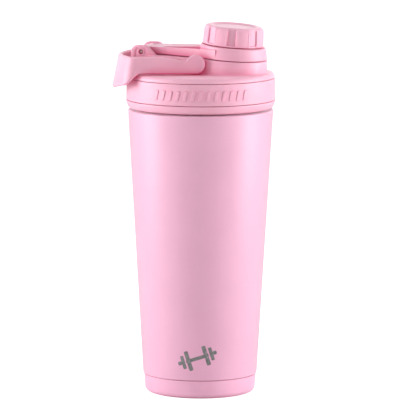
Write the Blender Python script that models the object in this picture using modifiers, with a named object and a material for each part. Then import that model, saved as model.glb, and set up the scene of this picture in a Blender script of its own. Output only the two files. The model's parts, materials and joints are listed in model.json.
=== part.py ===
"""Insulated steel protein shaker bottle with a screw lid, a flip-up twist cap and a carry handle.

The origin is the centre of the base's resting face. +Z runs up the bottle's axis, +X points from the
cap arm's hinge to the drinking spout, and the object is symmetric about the plane y = 0.
Lengths below are millimetres, angles are degrees; MM turns them into metres where meshes are made.
"""
import math

import bmesh
import bpy
from mathutils import Matrix, Vector

MM = 0.001
GAP = 0.3                    # clearance left between pieces that touch on the real bottle
ROUND_STEPS = 40             # facets round the bottle and lid
SMALL_STEPS = 32             # facets round the cap, spout and rings
TINY_STEPS = 16              # facets round pins and bosses

# Steel bottle
BODY_TOP_Z, BODY_TOP_R = 181.6, 46.3
BODY_LOW_Z, BODY_LOW_R = 12.1, 36.42
SHELL_WALL, LINER_WALL, VACUUM_GAP = 0.7, 0.6, 2.0
NECK_R = 41.2                # outside of the steel neck
NECK_TOP_Z = 197.6
RIM_TOP_Z = 198.6
FOOT_R = 33.0                # stepped-in steel foot inside the base cap
BASE_ROUND, BASE_R, BASE_TOP_Z, BASE_TOP_R = 4.0, 35.05, 11.7, 35.95
LINER_FLOOR_Z, LINER_CORNER, LINER_SHOULDER_Z = 15.5, 7.0, 174.0

# Two-start thread between the neck and the lid
THREAD_LEAD = 12.0           # lift for one turn
THREAD_STARTS = 2
THREAD_TURN = 0.75           # turns covered by each rib
THREAD_RIB_R = 1.0
THREAD_STEPS = 20            # segments along each rib
NECK_THREAD_Z = 186.6
LID_THREAD_DROP = 2.4        # the lid's ribs sit this far under the neck's

# Lid
SKIRT_IN_R, SKIRT_OUT_R = 43.2, 45.1
LID_LOW_Z = 182.9
RING_WIDE_R = 47.5           # widest part of the ring under the band
BAND_LOW_Z, BAND_TOP_Z, BAND_LOW_R, BAND_TOP_R = 188.1, 201.8, 47.4, 47.15
DECK_LOW_Z, DECK_TOP_Z, DECK_R, DECK_ROUND = 202.1, 205.3, 47.05, 3.0
SOCKET_IN_R, SOCKET_OUT_R, SOCKET_LOW_Z = 31.5, 33.3, 195.6
RIB_COUNT, RIB_PITCH, RIB_WIDTH, RIB_RELIEF, RIB_SLANT = 13, 6.0, 2.4, 0.4, 12.0
RIB_LOW_Z, RIB_TOP_Z, RIB_ANGLE = 191.2, 197.5, -73.0

# Raised platform under the cap arm: its top plane slopes down from the hinge to the spout
KNEE_X, KNEE_Z = 8.0, 215.2
REAR_SLOPE, FRONT_SLOPE = 1.8, 3.2
RING_X, RING_R = 21.6, 21.4
HINGE_X, HINGE_Z = -35.4, 218.2
EAR_OUT_Y, EAR_IN_Y = 14.5, 11.3
EAR_REAR_X = -42.2
PIN_R, PIN_BORE_R = 1.0, 1.3

# Spout, cap and ring share one axis that leans towards +X
AXIS_LEAN = 4.5
CAP_X, CAP_Z = 21.3, 223.3   # centre of the cap's lower rim
CAP_HEIGHT, CAP_LOW_R, CAP_DRAFT, CAP_CORNER = 12.3, 19.3, 3.4, 3.0
CAP_GRIPS, GRIP_WIDTH, GRIP_HEIGHT, GRIP_DEPTH, GRIP_LOW = 8, 5.9, 10.4, 1.15, 1.0
GRIP_ANGLE = -77.2           # plan angle of one grip pocket
SPOUT_IN_R, SPOUT_OUT_R, SPOUT_TOP_H = 10.5, 12.5, 5.0
RING_TOP_H, RING_TOP_R, RING_HOLE_R = -0.5, 20.65, 16.6
FLANGE_LOW_H, FLANGE_TOP_H = -7.1, -6.0

# Cap arm
ARM_GAP = 0.5                # air between the platform and the arm
ARM_TOP_Z, ARM_TOP_SLOPE = 221.5, 0.2
ARM_HALF_WIDTH, ARM_FLARE_X, ARM_FRONT_X, BARREL_R = 10.9, -20.0, 15.6, 3.3
ARM_FLARE, ARM_FLARE_CURVE = 0.1775, 0.00275    # the plate widens with x, more and more
PANEL_REAR_X, PANEL_FRONT_X, PANEL_REAR_HALF, PANEL_FRONT_HALF, PANEL_DEPTH = -25.0, 1.6, 0.8, 9.6, 2.1

# Carry handle: two flared arms and a tall apron that follows the lid's rim
PIVOT_X, PIVOT_Z, BOSS_R = 3.6, 212.2, 6.15
BOSS_IN_Y, BOSS_OUT_Y = 21.75, 24.75
TRUNNION_PAD_R, TRUNNION_R, TRUNNION_BORE_R = 2.9, 2.2, 2.5
HANDLE_THICK, HANDLE_FLARE = 3.0, 20.0
HANDLE_TOP_Z, HANDLE_LOW_Z, HANDLE_DROP = 217.0, 206.1, 3.1
APRON_R, APRON_CORNER, APRON_LEAN = 50.8, 8.0, 10.6
APRON_LOW_Z = 194.4          # lower edge at the rear
APRON_RISE = 0.0037          # rise of that edge for each mm squared of y

# Gasket and mixing grid
GASKET_IN_R, GASKET_OUT_R, GASKET_TOP_Z = 38.8, 42.6, 200.9
GRID_TOP_Z, GRID_LOW_Z, GRID_WALL = 199.5, 190.0, 2.3
HUB_OUT_R, HUB_IN_R, HUB_TOP_Z, HUB_LOW_Z = 9.6, 7.8, 194.0, 186.0
FIN_COUNT, FIN_THICK, FIN_LOW_Z = 6, 1.8, 177.0

PINK = (0.90, 0.47, 0.66)
PINK_BODY = (0.91, 0.56, 0.74)
PINK_WARM = (0.90, 0.50, 0.67)
STEEL = (0.63, 0.62, 0.61)
SILICONE = (0.86, 0.84, 0.83)


def clear_scene():
    for thing in list(bpy.data.objects):
        bpy.data.objects.remove(thing, do_unlink=True)
    for group in list(bpy.data.collections):
        bpy.data.collections.remove(group)


def new_collection(name):
    group = bpy.data.collections.new(name)
    bpy.context.scene.collection.children.link(group)
    return group


def make_material(name, colour, roughness, metallic=0.0):
    material = bpy.data.materials.new(name)
    material.use_nodes = True
    shader = material.node_tree.nodes["Principled BSDF"]
    shader.inputs["Base Color"].default_value = (*colour, 1.0)
    shader.inputs["Roughness"].default_value = roughness
    shader.inputs["Metallic"].default_value = metallic
    material.diffuse_color = (*colour, 1.0)
    return material


def add_object(name, mesh, group, material=None, sharp=30.0):
    if material:
        mesh.materials.append(material)
    mesh.shade_smooth()
    mesh.set_sharp_from_angle(angle=math.radians(sharp))
    thing = bpy.data.objects.new(name, mesh)
    group.objects.link(thing)
    if group == CUTTERS:
        thing.hide_render = True
        thing.display_type = "WIRE"
    return thing


def arc(centre_a, centre_b, radius, start, end, steps):
    """Points on an arc in a plane, from one angle to another."""
    points = []
    for i in range(steps + 1):
        angle = math.radians(start + (end - start) * i / steps)
        points.append((centre_a + radius * math.cos(angle), centre_b + radius * math.sin(angle)))
    return points


def turned(name, profile, steps, group, material=None, closed=True):
    """Turn a profile of (radius, z) round the Z axis. A closed profile makes a ring, an open one
    starts and ends on the axis. It runs down the outer side, top to bottom."""
    mesh = bpy.data.meshes.new(name)
    vertices = [(r * MM, 0.0, z * MM) for r, z in profile]
    edges = [(i, i + 1) for i in range(len(profile) - 1)]
    if closed:
        edges.append((len(profile) - 1, 0))
    mesh.from_pydata(vertices, edges, [])
    thing = add_object(name, mesh, group, material)
    screw = thing.modifiers.new("turn", "SCREW")
    screw.steps = steps
    screw.render_steps = steps
    screw.use_merge_vertices = True
    screw.merge_threshold = 0.00001
    screw.use_normal_calculate = False
    return thing


def extruded(name, outline, low, high, plane, group, material=None):
    """Extrude an outline. plane "XY" runs from z = low to high, "XZ" from y = low to high."""
    form = bmesh.new()
    if plane == "XY":
        corners = [form.verts.new((a * MM, b * MM, low * MM)) for a, b in outline]
        push = Vector((0, 0, (high - low) * MM))
    else:
        corners = [form.verts.new((a * MM, low * MM, b * MM)) for a, b in outline]
        push = Vector((0, (high - low) * MM, 0))
    face = form.faces.new(corners)
    moved = bmesh.ops.extrude_face_region(form, geom=[face])
    bmesh.ops.translate(form, vec=push, verts=[v for v in moved["geom"] if isinstance(v, bmesh.types.BMVert)])
    bmesh.ops.recalc_face_normals(form, faces=form.faces)
    mesh = bpy.data.meshes.new(name)
    form.to_mesh(mesh)
    form.free()
    return add_object(name, mesh, group, material)


def rod(name, radius, start, end, steps, group, material=None, end_radius=None):
    """A capped cylinder or cone between two points."""
    start, end = Vector(start), Vector(end)
    length = (end - start).length
    turn = (end - start).to_track_quat("Z", "Y").to_matrix().to_4x4()
    form = bmesh.new()
    far_radius = radius if end_radius is None else end_radius
    bmesh.ops.create_cone(form, cap_ends=True, segments=steps, radius1=radius * MM, radius2=far_radius * MM,
                          depth=length * MM, matrix=Matrix.Translation((start + end) * 0.5 * MM) @ turn)
    mesh = bpy.data.meshes.new(name)
    form.to_mesh(mesh)
    form.free()
    return add_object(name, mesh, group, material)


def box(name, low, high, group, material=None):
    form = bmesh.new()
    bmesh.ops.create_cube(form, size=1.0)
    low, high = Vector(low) * MM, Vector(high) * MM
    bmesh.ops.scale(form, vec=high - low, verts=form.verts)
    bmesh.ops.translate(form, vec=(low + high) * 0.5, verts=form.verts)
    mesh = bpy.data.meshes.new(name)
    form.to_mesh(mesh)
    form.free()
    return add_object(name, mesh, group, material)


def combine(target, tool, operation):
    step = target.modifiers.new(operation.lower(), "BOOLEAN")
    step.operation = operation
    step.object = tool
    step.solver = "EXACT"


def body_radius(z):
    share = (z - BODY_LOW_Z) / (BODY_TOP_Z - BODY_LOW_Z)
    return BODY_LOW_R + share * (BODY_TOP_R - BODY_LOW_R)


def liner_radius(z):
    return body_radius(z) - SHELL_WALL - VACUUM_GAP


def platform_top(x):
    slope = REAR_SLOPE if x < KNEE_X else FRONT_SLOPE
    return KNEE_Z + (KNEE_X - x) * math.tan(math.radians(slope))


def arm_top(x):
    return ARM_TOP_Z - (x + 30.0) * math.tan(math.radians(ARM_TOP_SLOPE))


def arm_half_width(x):
    """Half the width of the arm's plate: even between the ears, then flaring out to the ring."""
    reach = max(0.0, x - ARM_FLARE_X)
    return ARM_HALF_WIDTH + ARM_FLARE * reach + ARM_FLARE_CURVE * reach * reach


def on_axis(h):
    """Point on the leaning spout axis, h above the cap's lower rim."""
    lean = math.radians(AXIS_LEAN)
    return Vector((CAP_X + h * math.sin(lean), 0.0, CAP_Z + h * math.cos(lean)))


def lean_to_axis(thing):
    """Place a piece that was turned round its own Z axis on the spout axis, as the cap's frame."""
    thing.location = Vector((CAP_X, 0.0, CAP_Z)) * MM
    thing.rotation_euler = (0.0, math.radians(AXIS_LEAN), 0.0)
    return thing


def thread_rib(name, centre_r, low_z, start_angle):
    """One helical rib: a wire along a helix with capped ends, made a mesh so that it can be joined."""
    curve = bpy.data.curves.new(name, "CURVE")
    curve.dimensions = "3D"
    curve.bevel_depth = THREAD_RIB_R * MM
    curve.bevel_resolution = 0
    curve.use_fill_caps = True
    spline = curve.splines.new("POLY")
    spline.points.add(THREAD_STEPS)
    for i in range(THREAD_STEPS + 1):
        turn = THREAD_TURN * i / THREAD_STEPS
        angle = start_angle + 2 * math.pi * turn
        place = (centre_r * math.cos(angle), centre_r * math.sin(angle), low_z + THREAD_LEAD * turn)
        spline.points[i].co = (place[0] * MM, place[1] * MM, place[2] * MM, 1.0)
    wire = bpy.data.objects.new(name + "_wire", curve)
    CUTTERS.objects.link(wire)
    evaluated = wire.evaluated_get(bpy.context.evaluated_depsgraph_get())
    mesh = bpy.data.meshes.new_from_object(evaluated)
    form = bmesh.new()
    form.from_mesh(mesh)
    bmesh.ops.remove_doubles(form, verts=form.verts, dist=0.00001)
    bmesh.ops.recalc_face_normals(form, faces=form.faces)
    form.to_mesh(mesh)
    form.free()
    rib = add_object(name, mesh, CUTTERS)
    rib.matrix_world = wire.matrix_world
    bpy.data.objects.remove(wire)
    return rib


def add_thread(target, name, centre_r, low_z):
    for start in range(THREAD_STARTS):
        rib = thread_rib(f"{name}_{start + 1}", centre_r, low_z, 2 * math.pi * start / THREAD_STARTS + 0.3)
        combine(target, rib, "UNION")


def tangent_outline(end_x, end_half, centre_x, radius, steps):
    """Teardrop in plan: a straight end at end_x, and a circle that its two sides touch."""
    reach = Vector((centre_x - end_x, -end_half))
    distance = reach.length
    direction = math.atan2(reach.y, reach.x) + math.asin(radius / distance)
    touch = math.degrees(direction) + 90.0
    round_end = arc(centre_x, 0.0, radius, touch, -touch, steps)
    return [(end_x, end_half)] + round_end + [(end_x, -end_half)]


def make_outer_shell():
    """Powder-coated outer wall with its neck, shoulder and rolled thread."""
    wall = SHELL_WALL
    outer = [(NECK_R, NECK_TOP_Z), (NECK_R, BODY_TOP_Z + 0.6), (NECK_R + 0.6, BODY_TOP_Z),
             (BODY_TOP_R - 0.7, BODY_TOP_Z), (BODY_TOP_R, BODY_TOP_Z - 0.7),
             (BODY_LOW_R, BODY_LOW_Z), (FOOT_R, BODY_LOW_Z - 1.2), (FOOT_R, 2.6)]
    inner = [(FOOT_R - wall, 2.6), (FOOT_R - wall, BODY_LOW_Z - 0.6), (BODY_LOW_R - wall, BODY_LOW_Z + 0.8),
             (BODY_TOP_R - wall, BODY_TOP_Z - 1.4), (NECK_R - wall, BODY_TOP_Z - 0.7),
             (NECK_R - wall, NECK_TOP_Z)]
    shell = turned("outer_shell", outer + inner, ROUND_STEPS, PARTS, COATED)
    add_thread(shell, "neck_thread", NECK_R + 0.4, NECK_THREAD_Z)
    return shell


def make_inner_liner():
    """Bare steel cup inside the vacuum gap, with the lip that closes the mouth."""
    wall = LINER_WALL
    neck_out = NECK_R - SHELL_WALL - GAP
    floor_z, corner = LINER_FLOOR_Z, LINER_CORNER
    low_r = liner_radius(floor_z + corner)
    outer = [(NECK_R + 0.3, RIM_TOP_Z - 0.2), (NECK_R + 0.3, NECK_TOP_Z + GAP), (neck_out, NECK_TOP_Z + GAP),
             (neck_out, BODY_TOP_Z - 1.8), (liner_radius(LINER_SHOULDER_Z), LINER_SHOULDER_Z)]
    outer += arc(low_r - corner, floor_z + corner, corner, 0.0, -90.0, 3) + [(0.0, floor_z)]
    inner = [(0.0, floor_z + wall)] + arc(low_r - corner, floor_z + corner, corner - wall, -90.0, 0.0, 3)
    inner += [(liner_radius(LINER_SHOULDER_Z) - wall, LINER_SHOULDER_Z), (neck_out - wall, BODY_TOP_Z - 1.8),
              (neck_out - wall, RIM_TOP_Z - 0.4), (neck_out - wall + 0.5, RIM_TOP_Z), (NECK_R, RIM_TOP_Z)]
    # the outline is shifted so that it starts and ends on the axis
    low = outer.index((0.0, floor_z))
    profile = [(0.0, floor_z + wall)] + inner[1:] + outer[:low + 1]
    return turned("inner_liner", profile, ROUND_STEPS, PARTS, BARE_STEEL, closed=False)


def make_outer_bottom():
    """Welded steel bottom cup with the dimple that holds the vacuum seal."""
    rim = FOOT_R - SHELL_WALL - GAP
    profile = [(rim, 9.0), (rim, 3.4), (rim - 0.8, 2.6), (9.5, 2.6), (8.0, 4.8), (1.7, 4.8), (1.7, 5.4),
               (7.6, 5.4), (9.1, 3.2), (rim - 0.9, 3.2), (rim - 0.6, 9.0)]
    return turned("outer_bottom", profile, SMALL_STEPS, PARTS, BARE_STEEL)


def make_vacuum_seal():
    """Brazed bead that closes the hole in the dimple."""
    profile = [(0.0, 6.2), (1.35, 6.2), (1.35, 4.5), (3.0, 4.4), (2.6, 3.4), (0.0, 3.4)]
    return turned("vacuum_seal_plug", profile, TINY_STEPS, PARTS, BARE_STEEL, closed=False)


def make_getter():
    """Gas getter capsule in the vacuum gap, under the liner."""
    return rod("vacuum_getter", 4.0, (18.0, 0.0, 3.6), (18.0, 0.0, 5.8), TINY_STEPS, PARTS, BARE_STEEL)


def make_base_cap():
    """Moulded cap over the steel foot, with a shallow groove round its resting face."""
    wall_r = FOOT_R + GAP
    profile = [(BASE_TOP_R, BASE_TOP_Z - 0.3)]
    profile += arc(BASE_R - BASE_ROUND, BASE_ROUND, BASE_ROUND, 0.0, -90.0, 3)
    profile += [(27.0, 0.0), (26.6, 0.6), (24.4, 0.6), (24.0, 0.0), (0.0, 0.0)]
    inner = [(0.0, 2.2), (wall_r, 2.2), (wall_r, BASE_TOP_Z - 1.6), (BASE_TOP_R - 1.2, BASE_TOP_Z - 0.35),
             (BASE_TOP_R - 0.4, BASE_TOP_Z)]
    return turned("base_cap", inner + profile, ROUND_STEPS, PARTS, BASE_PINK, closed=False)


def make_lid_gasket():
    """Silicone ring that seals the lid on the steel rim."""
    low_z, bevel = RIM_TOP_Z + GAP, 0.8
    profile = [(GASKET_OUT_R, GASKET_TOP_Z), (GASKET_OUT_R, low_z + bevel), (GASKET_OUT_R - bevel, low_z),
               (GASKET_IN_R + bevel, low_z), (GASKET_IN_R, low_z + bevel), (GASKET_IN_R, GASKET_TOP_Z)]
    return turned("lid_gasket", profile, SMALL_STEPS, PARTS, SEAL_WHITE)


def make_lid_skirt():
    """Threaded inner moulding of the lid, with the bottom ring that shows under the grip band."""
    ledge_z, top_z = BAND_LOW_Z - GAP, BAND_TOP_Z - 0.5
    ring = [(RING_WIDE_R - inset, LID_LOW_Z + rise)
            for inset, rise in ((0.0, 4.2), (0.4, 2.7), (1.2, 0.9), (1.9, 0.0))]
    profile = [(SKIRT_OUT_R, top_z), (SKIRT_OUT_R, ledge_z), (RING_WIDE_R - 0.15, ledge_z)] + ring
    profile += [(SKIRT_IN_R + 0.6, LID_LOW_Z), (SKIRT_IN_R, LID_LOW_Z + 0.6), (SKIRT_IN_R, top_z)]
    skirt = turned("lid_skirt", profile, ROUND_STEPS, PARTS, MOULDED)
    add_thread(skirt, "lid_thread", SKIRT_IN_R - 0.45, NECK_THREAD_Z - LID_THREAD_DROP)
    return skirt


def make_grip_band():
    """Outer band of the lid, with a row of slanted ribs on the front."""
    middle_z = (RIB_LOW_Z + RIB_TOP_Z) / 2
    tilt = math.tan(math.radians(RIB_SLANT))
    outline = [(side * RIB_WIDTH / 2 + (z - middle_z) * tilt, z)
               for side, z in ((-1, RIB_LOW_Z), (1, RIB_LOW_Z), (1, RIB_TOP_Z), (-1, RIB_TOP_Z))]
    profile = [(BAND_TOP_R, BAND_TOP_Z - 0.4), (BAND_LOW_R, BAND_LOW_Z + 0.4), (BAND_LOW_R - 0.4, BAND_LOW_Z),
               (SKIRT_OUT_R + GAP, BAND_LOW_Z), (SKIRT_OUT_R + GAP, BAND_TOP_Z), (BAND_TOP_R - 0.4, BAND_TOP_Z)]
    band = turned("grip_band", profile, ROUND_STEPS, PARTS, MOULDED)
    for i in range(RIB_COUNT):
        rib = extruded(f"band_rib_{i + 1}", outline, -BAND_LOW_R - RIB_RELIEF, -BAND_LOW_R + 1.2, "XZ", CUTTERS)
        angle = RIB_ANGLE + 90.0 + RIB_PITCH * (i - (RIB_COUNT - 1) / 2)
        rib.rotation_euler = (0.0, 0.0, math.radians(angle))
        combine(band, rib, "UNION")
    return band


def platform_outline():
    return tangent_outline(EAR_REAR_X + 2.0, EAR_OUT_Y - 0.4, RING_X, RING_R, 22)


def make_lid_deck():
    """Top of the lid: deck, raised platform, hinge ears, handle trunnions and drinking spout in one."""
    profile = [(0.0, DECK_TOP_Z)] + [(DECK_R - DECK_ROUND, DECK_TOP_Z)]
    profile += arc(DECK_R - DECK_ROUND, DECK_TOP_Z - DECK_ROUND, DECK_ROUND, 67.5, 0.0, 3)
    under_z = DECK_LOW_Z - 0.7
    profile += [(SKIRT_IN_R - GAP, DECK_LOW_Z), (SKIRT_IN_R - GAP, under_z), (SOCKET_OUT_R, under_z),
                (SOCKET_OUT_R, SOCKET_LOW_Z), (SOCKET_IN_R, SOCKET_LOW_Z), (SOCKET_IN_R, under_z), (0.0, under_z)]
    deck = turned("lid_deck", profile, ROUND_STEPS, PARTS, MOULDED, closed=False)

    platform = extruded("platform_plan", platform_outline(), 203.5, 220.0, "XY", CUTTERS)
    rear = EAR_REAR_X - 3.0
    front = RING_X + RING_R + 2.0
    side = [(rear, 203.0), (front, 203.0), (front, platform_top(front)), (KNEE_X, KNEE_Z), (rear, platform_top(rear))]
    combine(platform, extruded("platform_side", side, -30.0, 30.0, "XZ", CUTTERS), "INTERSECT")
    combine(deck, platform, "UNION")

    for side_sign, hand in ((1, "left"), (-1, "right")):
        low, high = sorted((side_sign * EAR_IN_Y, side_sign * EAR_OUT_Y))
        combine(deck, extruded(f"ear_{hand}", ear_outline(), low, high, "XZ", CUTTERS), "UNION")
        pad = rod(f"trunnion_pad_{hand}", TRUNNION_PAD_R, (PIVOT_X, side_sign * 16.0, PIVOT_Z),
                  (PIVOT_X, side_sign * (BOSS_IN_Y - GAP), PIVOT_Z), TINY_STEPS, CUTTERS)
        combine(deck, pad, "UNION")
        stub = rod(f"trunnion_{hand}", TRUNNION_R, (PIVOT_X, side_sign * 18.0, PIVOT_Z),
                   (PIVOT_X, side_sign * (BOSS_OUT_Y - 1.2), PIVOT_Z), TINY_STEPS, CUTTERS)
        combine(deck, stub, "UNION")

    tube = rod("spout_tube", SPOUT_OUT_R, on_axis(-14.0), on_axis(SPOUT_TOP_H), SMALL_STEPS, CUTTERS)
    combine(deck, tube, "UNION")
    for side_sign, hand in ((1, "left"), (-1, "right")):
        lug = sector(f"spout_lug_{hand}", SPOUT_OUT_R - 0.8, 14.4, 2.6, 3.8, 90.0 * side_sign, 40.0)
        combine(deck, lean_to_axis(lug), "UNION")

    slot = extruded("hinge_slot", [(-46.0, 213.6), (-32.6, 213.6), (-30.6, 215.6), (-30.6, 226.0), (-46.0, 226.0)],
                    -EAR_IN_Y, EAR_IN_Y, "XZ", CUTTERS)
    combine(deck, slot, "DIFFERENCE")
    bore = rod("spout_bore", SPOUT_IN_R, on_axis(-30.0), on_axis(12.0), SMALL_STEPS, CUTTERS)
    combine(deck, bore, "DIFFERENCE")
    pin_bore = rod("pin_bore", PIN_BORE_R, (HINGE_X, -20.0, HINGE_Z), (HINGE_X, 20.0, HINGE_Z), 16, CUTTERS)
    combine(deck, pin_bore, "DIFFERENCE")
    return deck


def ear_outline():
    """Side view of a hinge ear: upright rear edge, domed top, front edge sloping to the platform."""
    rear, front, low = EAR_REAR_X, HINGE_X + 10.4, DECK_TOP_Z - 1.0
    top = HINGE_Z + 4.2
    crown = arc(HINGE_X - 2.3, top - 4.5, 4.5, 180.0, 90.0, 5)
    brow = arc(HINGE_X + 2.6, top - 3.6, 3.6, 90.0, 30.0, 4)
    return [(rear, low)] + crown + brow + [(front, platform_top(front) - 0.2), (front, low)]


def sector(name, inner_r, outer_r, low, high, middle, width):
    """A lug: part of a ring round the local Z axis."""
    outside = arc(0.0, 0.0, outer_r, middle - width / 2, middle + width / 2, 8)
    inside = arc(0.0, 0.0, inner_r, middle + width / 2, middle - width / 2, 8)
    return extruded(name, outside + inside, low, high, "XY", CUTTERS)


def make_hinge_pin():
    """Steel pin of the cap arm, fixed in the two ears."""
    end = EAR_OUT_Y - 0.8
    return rod("hinge_pin", PIN_R, (HINGE_X, -end, HINGE_Z), (HINGE_X, end, HINGE_Z), 16, PARTS, BARE_STEEL)


def make_flip_arm():
    """Arm that carries the cap: hinge barrel, tapered plate with a sunk panel, and the ring."""
    rear = HINGE_X - BARREL_R - 1.0
    low_z, high_z = 205.0, 232.0
    stations = [ARM_FLARE_X + (ARM_FRONT_X - ARM_FLARE_X) * i / 4 for i in range(5)]
    left_side = [(rear, ARM_HALF_WIDTH)] + [(x, arm_half_width(x)) for x in stations] + [(RING_X + 1.0, 12.0)]
    right_side = [(x, -y) for x, y in reversed(left_side)]
    plate = extruded("flip_arm", left_side + right_side, low_z, high_z, "XY", PARTS, MOULDED)
    front = RING_X + 2.0
    under = [(x, platform_top(x) + ARM_GAP) for x in (front, KNEE_X, HINGE_X + 4.4)]
    barrel = arc(HINGE_X, HINGE_Z, BARREL_R, -40.0, -270.0, 12)
    profile = under + barrel + [(x, arm_top(x)) for x in (HINGE_X + 2.0, front)]
    combine(plate, extruded("arm_profile", profile, -30.0, 30.0, "XZ", CUTTERS), "INTERSECT")

    collar = rod("arm_collar", RING_R + 0.15, (RING_X, 0.0, 210.0), (RING_X + 0.1, 0.0, 228.0), SMALL_STEPS,
                 CUTTERS, end_radius=RING_TOP_R - 0.4)
    left, right = RING_X - 25.0, RING_X + 25.0
    lean = math.tan(math.radians(AXIS_LEAN))
    rim = [(x, on_axis(RING_TOP_H).z - (x - CAP_X) * lean) for x in (right, left)]
    slab = [(x, platform_top(x) + ARM_GAP) for x in (left, KNEE_X, right)] + rim
    combine(collar, extruded("collar_slab", slab, -30.0, 30.0, "XZ", CUTTERS), "INTERSECT")
    combine(plate, collar, "UNION")

    hole = rod("ring_hole", RING_HOLE_R, on_axis(-20.0), on_axis(10.0), SMALL_STEPS, CUTTERS)
    combine(plate, hole, "DIFFERENCE")
    step_top = on_axis(FLANGE_TOP_H + GAP)
    recess = rod("ring_counterbore", RING_HOLE_R + 1.5, on_axis(-20.0), step_top, SMALL_STEPS, CUTTERS)
    combine(plate, recess, "DIFFERENCE")
    wedge = [(PANEL_REAR_X, PANEL_REAR_HALF), (PANEL_REAR_X, -PANEL_REAR_HALF),
             (PANEL_FRONT_X, -PANEL_FRONT_HALF), (PANEL_FRONT_X, PANEL_FRONT_HALF)]
    panel_z = arm_top(PANEL_REAR_X / 2) - PANEL_DEPTH
    panel = extruded("arm_panel", wedge, panel_z, high_z, "XY", CUTTERS)
    combine(plate, panel, "DIFFERENCE")
    bore = rod("arm_bore", PIN_BORE_R, (HINGE_X, -20.0, HINGE_Z), (HINGE_X, 20.0, HINGE_Z), 16, CUTTERS)
    combine(plate, bore, "DIFFERENCE")
    return hinge_parent(plate, "cap_arm_axis", (HINGE_X, 0.0, HINGE_Z))


def hinge_parent(thing, name, place):
    """Parent a moving piece to an empty on its joint's axis, leaving the piece where it is."""
    empty = bpy.data.objects.new(name, None)
    empty.location = Vector(place) * MM
    thing.users_collection[0].objects.link(empty)
    bpy.context.view_layer.update()
    thing.parent = empty
    thing.matrix_parent_inverse = empty.matrix_world.inverted()
    return thing


def make_cap_knob():
    """Twist cap: a drafted knob with grip pockets, hollow underneath."""
    draft = math.tan(math.radians(CAP_DRAFT))
    top_r = CAP_LOW_R - CAP_HEIGHT * draft
    shoulder = arc(top_r - CAP_CORNER + 0.2, CAP_HEIGHT - CAP_CORNER, CAP_CORNER, 90.0, CAP_DRAFT, 5)
    profile = [(0.0, CAP_HEIGHT - 0.5), (12.6, CAP_HEIGHT - 0.5), (13.2, CAP_HEIGHT)] + shoulder
    profile += [(CAP_LOW_R, 0.6), (CAP_LOW_R - 0.5, 0.0), (17.0, 0.0), (16.6, 0.4), (16.6, CAP_HEIGHT - 1.9),
                (0.0, CAP_HEIGHT - 1.9)]
    knob = turned("cap_knob", profile, ROUND_STEPS, PARTS, MOULDED, closed=False)
    for i in range(CAP_GRIPS):
        angle = math.radians(GRIP_ANGLE + 360.0 / CAP_GRIPS * i)
        pocket = box(f"cap_grip_{i + 1}", (CAP_LOW_R - GRIP_DEPTH, -GRIP_WIDTH / 2, GRIP_LOW),
                     (CAP_LOW_R + 3.0, GRIP_WIDTH / 2, GRIP_LOW + GRIP_HEIGHT), CUTTERS)
        spin = Matrix.Rotation(angle, 4, "Z")
        pitch = Matrix.Rotation(-math.radians(CAP_DRAFT), 4, "Y")
        lean = Matrix.Rotation(math.radians(AXIS_LEAN), 4, "Y")
        pocket.matrix_world = Matrix.Translation(Vector((CAP_X, 0, CAP_Z)) * MM) @ lean @ spin @ pitch
        combine(knob, pocket, "DIFFERENCE")
    return lean_to_axis(knob)


def make_cap_insert():
    """Inner cup of the cap: it carries the seal, snaps through the arm's ring and has two locking lugs."""
    out_r, in_r = RING_HOLE_R - 0.4, 15.0
    plate_low, plate_top = 7.2, CAP_HEIGHT - 1.9 - GAP
    profile = [(0.0, plate_top), (out_r, plate_top), (out_r, FLANGE_TOP_H), (out_r + 1.2, FLANGE_TOP_H),
               (out_r + 1.2, FLANGE_LOW_H), (in_r, FLANGE_LOW_H), (in_r, plate_low), (0.0, plate_low)]
    insert = turned("cap_insert", profile, SMALL_STEPS, PARTS, MOULDED, closed=False)
    for turn, hand in ((0.0, "front"), (180.0, "rear")):
        lug = lean_to_axis(sector(f"insert_lug_{hand}", 13.8, in_r + 0.6, 1.0, 2.2, turn, 40.0))
        combine(insert, lug, "UNION")
    return lean_to_axis(insert)


def make_cap_seal():
    """Silicone disc that closes the spout, with a shallow bead over its rim."""
    profile = [(0.0, 6.9), (14.5, 6.9), (14.5, SPOUT_TOP_H + GAP), (9.6, SPOUT_TOP_H + GAP),
               (8.8, SPOUT_TOP_H - 0.4), (0.0, SPOUT_TOP_H - 0.4)]
    return lean_to_axis(turned("cap_seal", profile, SMALL_STEPS, PARTS, SEAL_WHITE, closed=False))


def smooth_step(value, start, end):
    share = min(1.0, max(0.0, (value - start) / (end - start)))
    return share * share * (3.0 - 2.0 * share)


def handle_path():
    """Half of the handle's middle line in plan, from the right boss to the rear, as (x, y, round share).

    A flared straight arm, a corner, and an arc round the lid's axis. The share is how far round the
    corner a point is: 0 on the straight arm, 1 on the apron.
    """
    flare = math.radians(HANDLE_FLARE)
    start = Vector((PIVOT_X, -(BOSS_IN_Y + BOSS_OUT_Y) / 2))
    along = Vector((-math.cos(flare), -math.sin(flare)))
    inward = Vector((-math.sin(flare), math.cos(flare)))
    base = start + inward * APRON_CORNER
    half = base.dot(along)
    run = -half + math.sqrt(half * half - base.length_squared + (APRON_R - APRON_CORNER) ** 2)
    centre = base + along * run
    points = []
    straight = 9
    for i in range(straight + 1):
        spot = start + along * (1.0 + (run - 1.0) * i / straight)
        points.append((spot.x, spot.y, 0.0))
    from_angle = math.degrees(math.atan2(-inward.y, -inward.x))
    to_angle = math.degrees(math.atan2(centre.y, centre.x))
    corner = arc(centre.x, centre.y, APRON_CORNER, from_angle, to_angle, 8)
    points += [(x, y, (i + 1) / 8) for i, (x, y) in enumerate(corner[1:])]
    sweep = arc(0.0, 0.0, APRON_R, to_angle, -180.0, 10)
    points += [(x, y, 1.0) for x, y in sweep[1:]]
    return points


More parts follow.
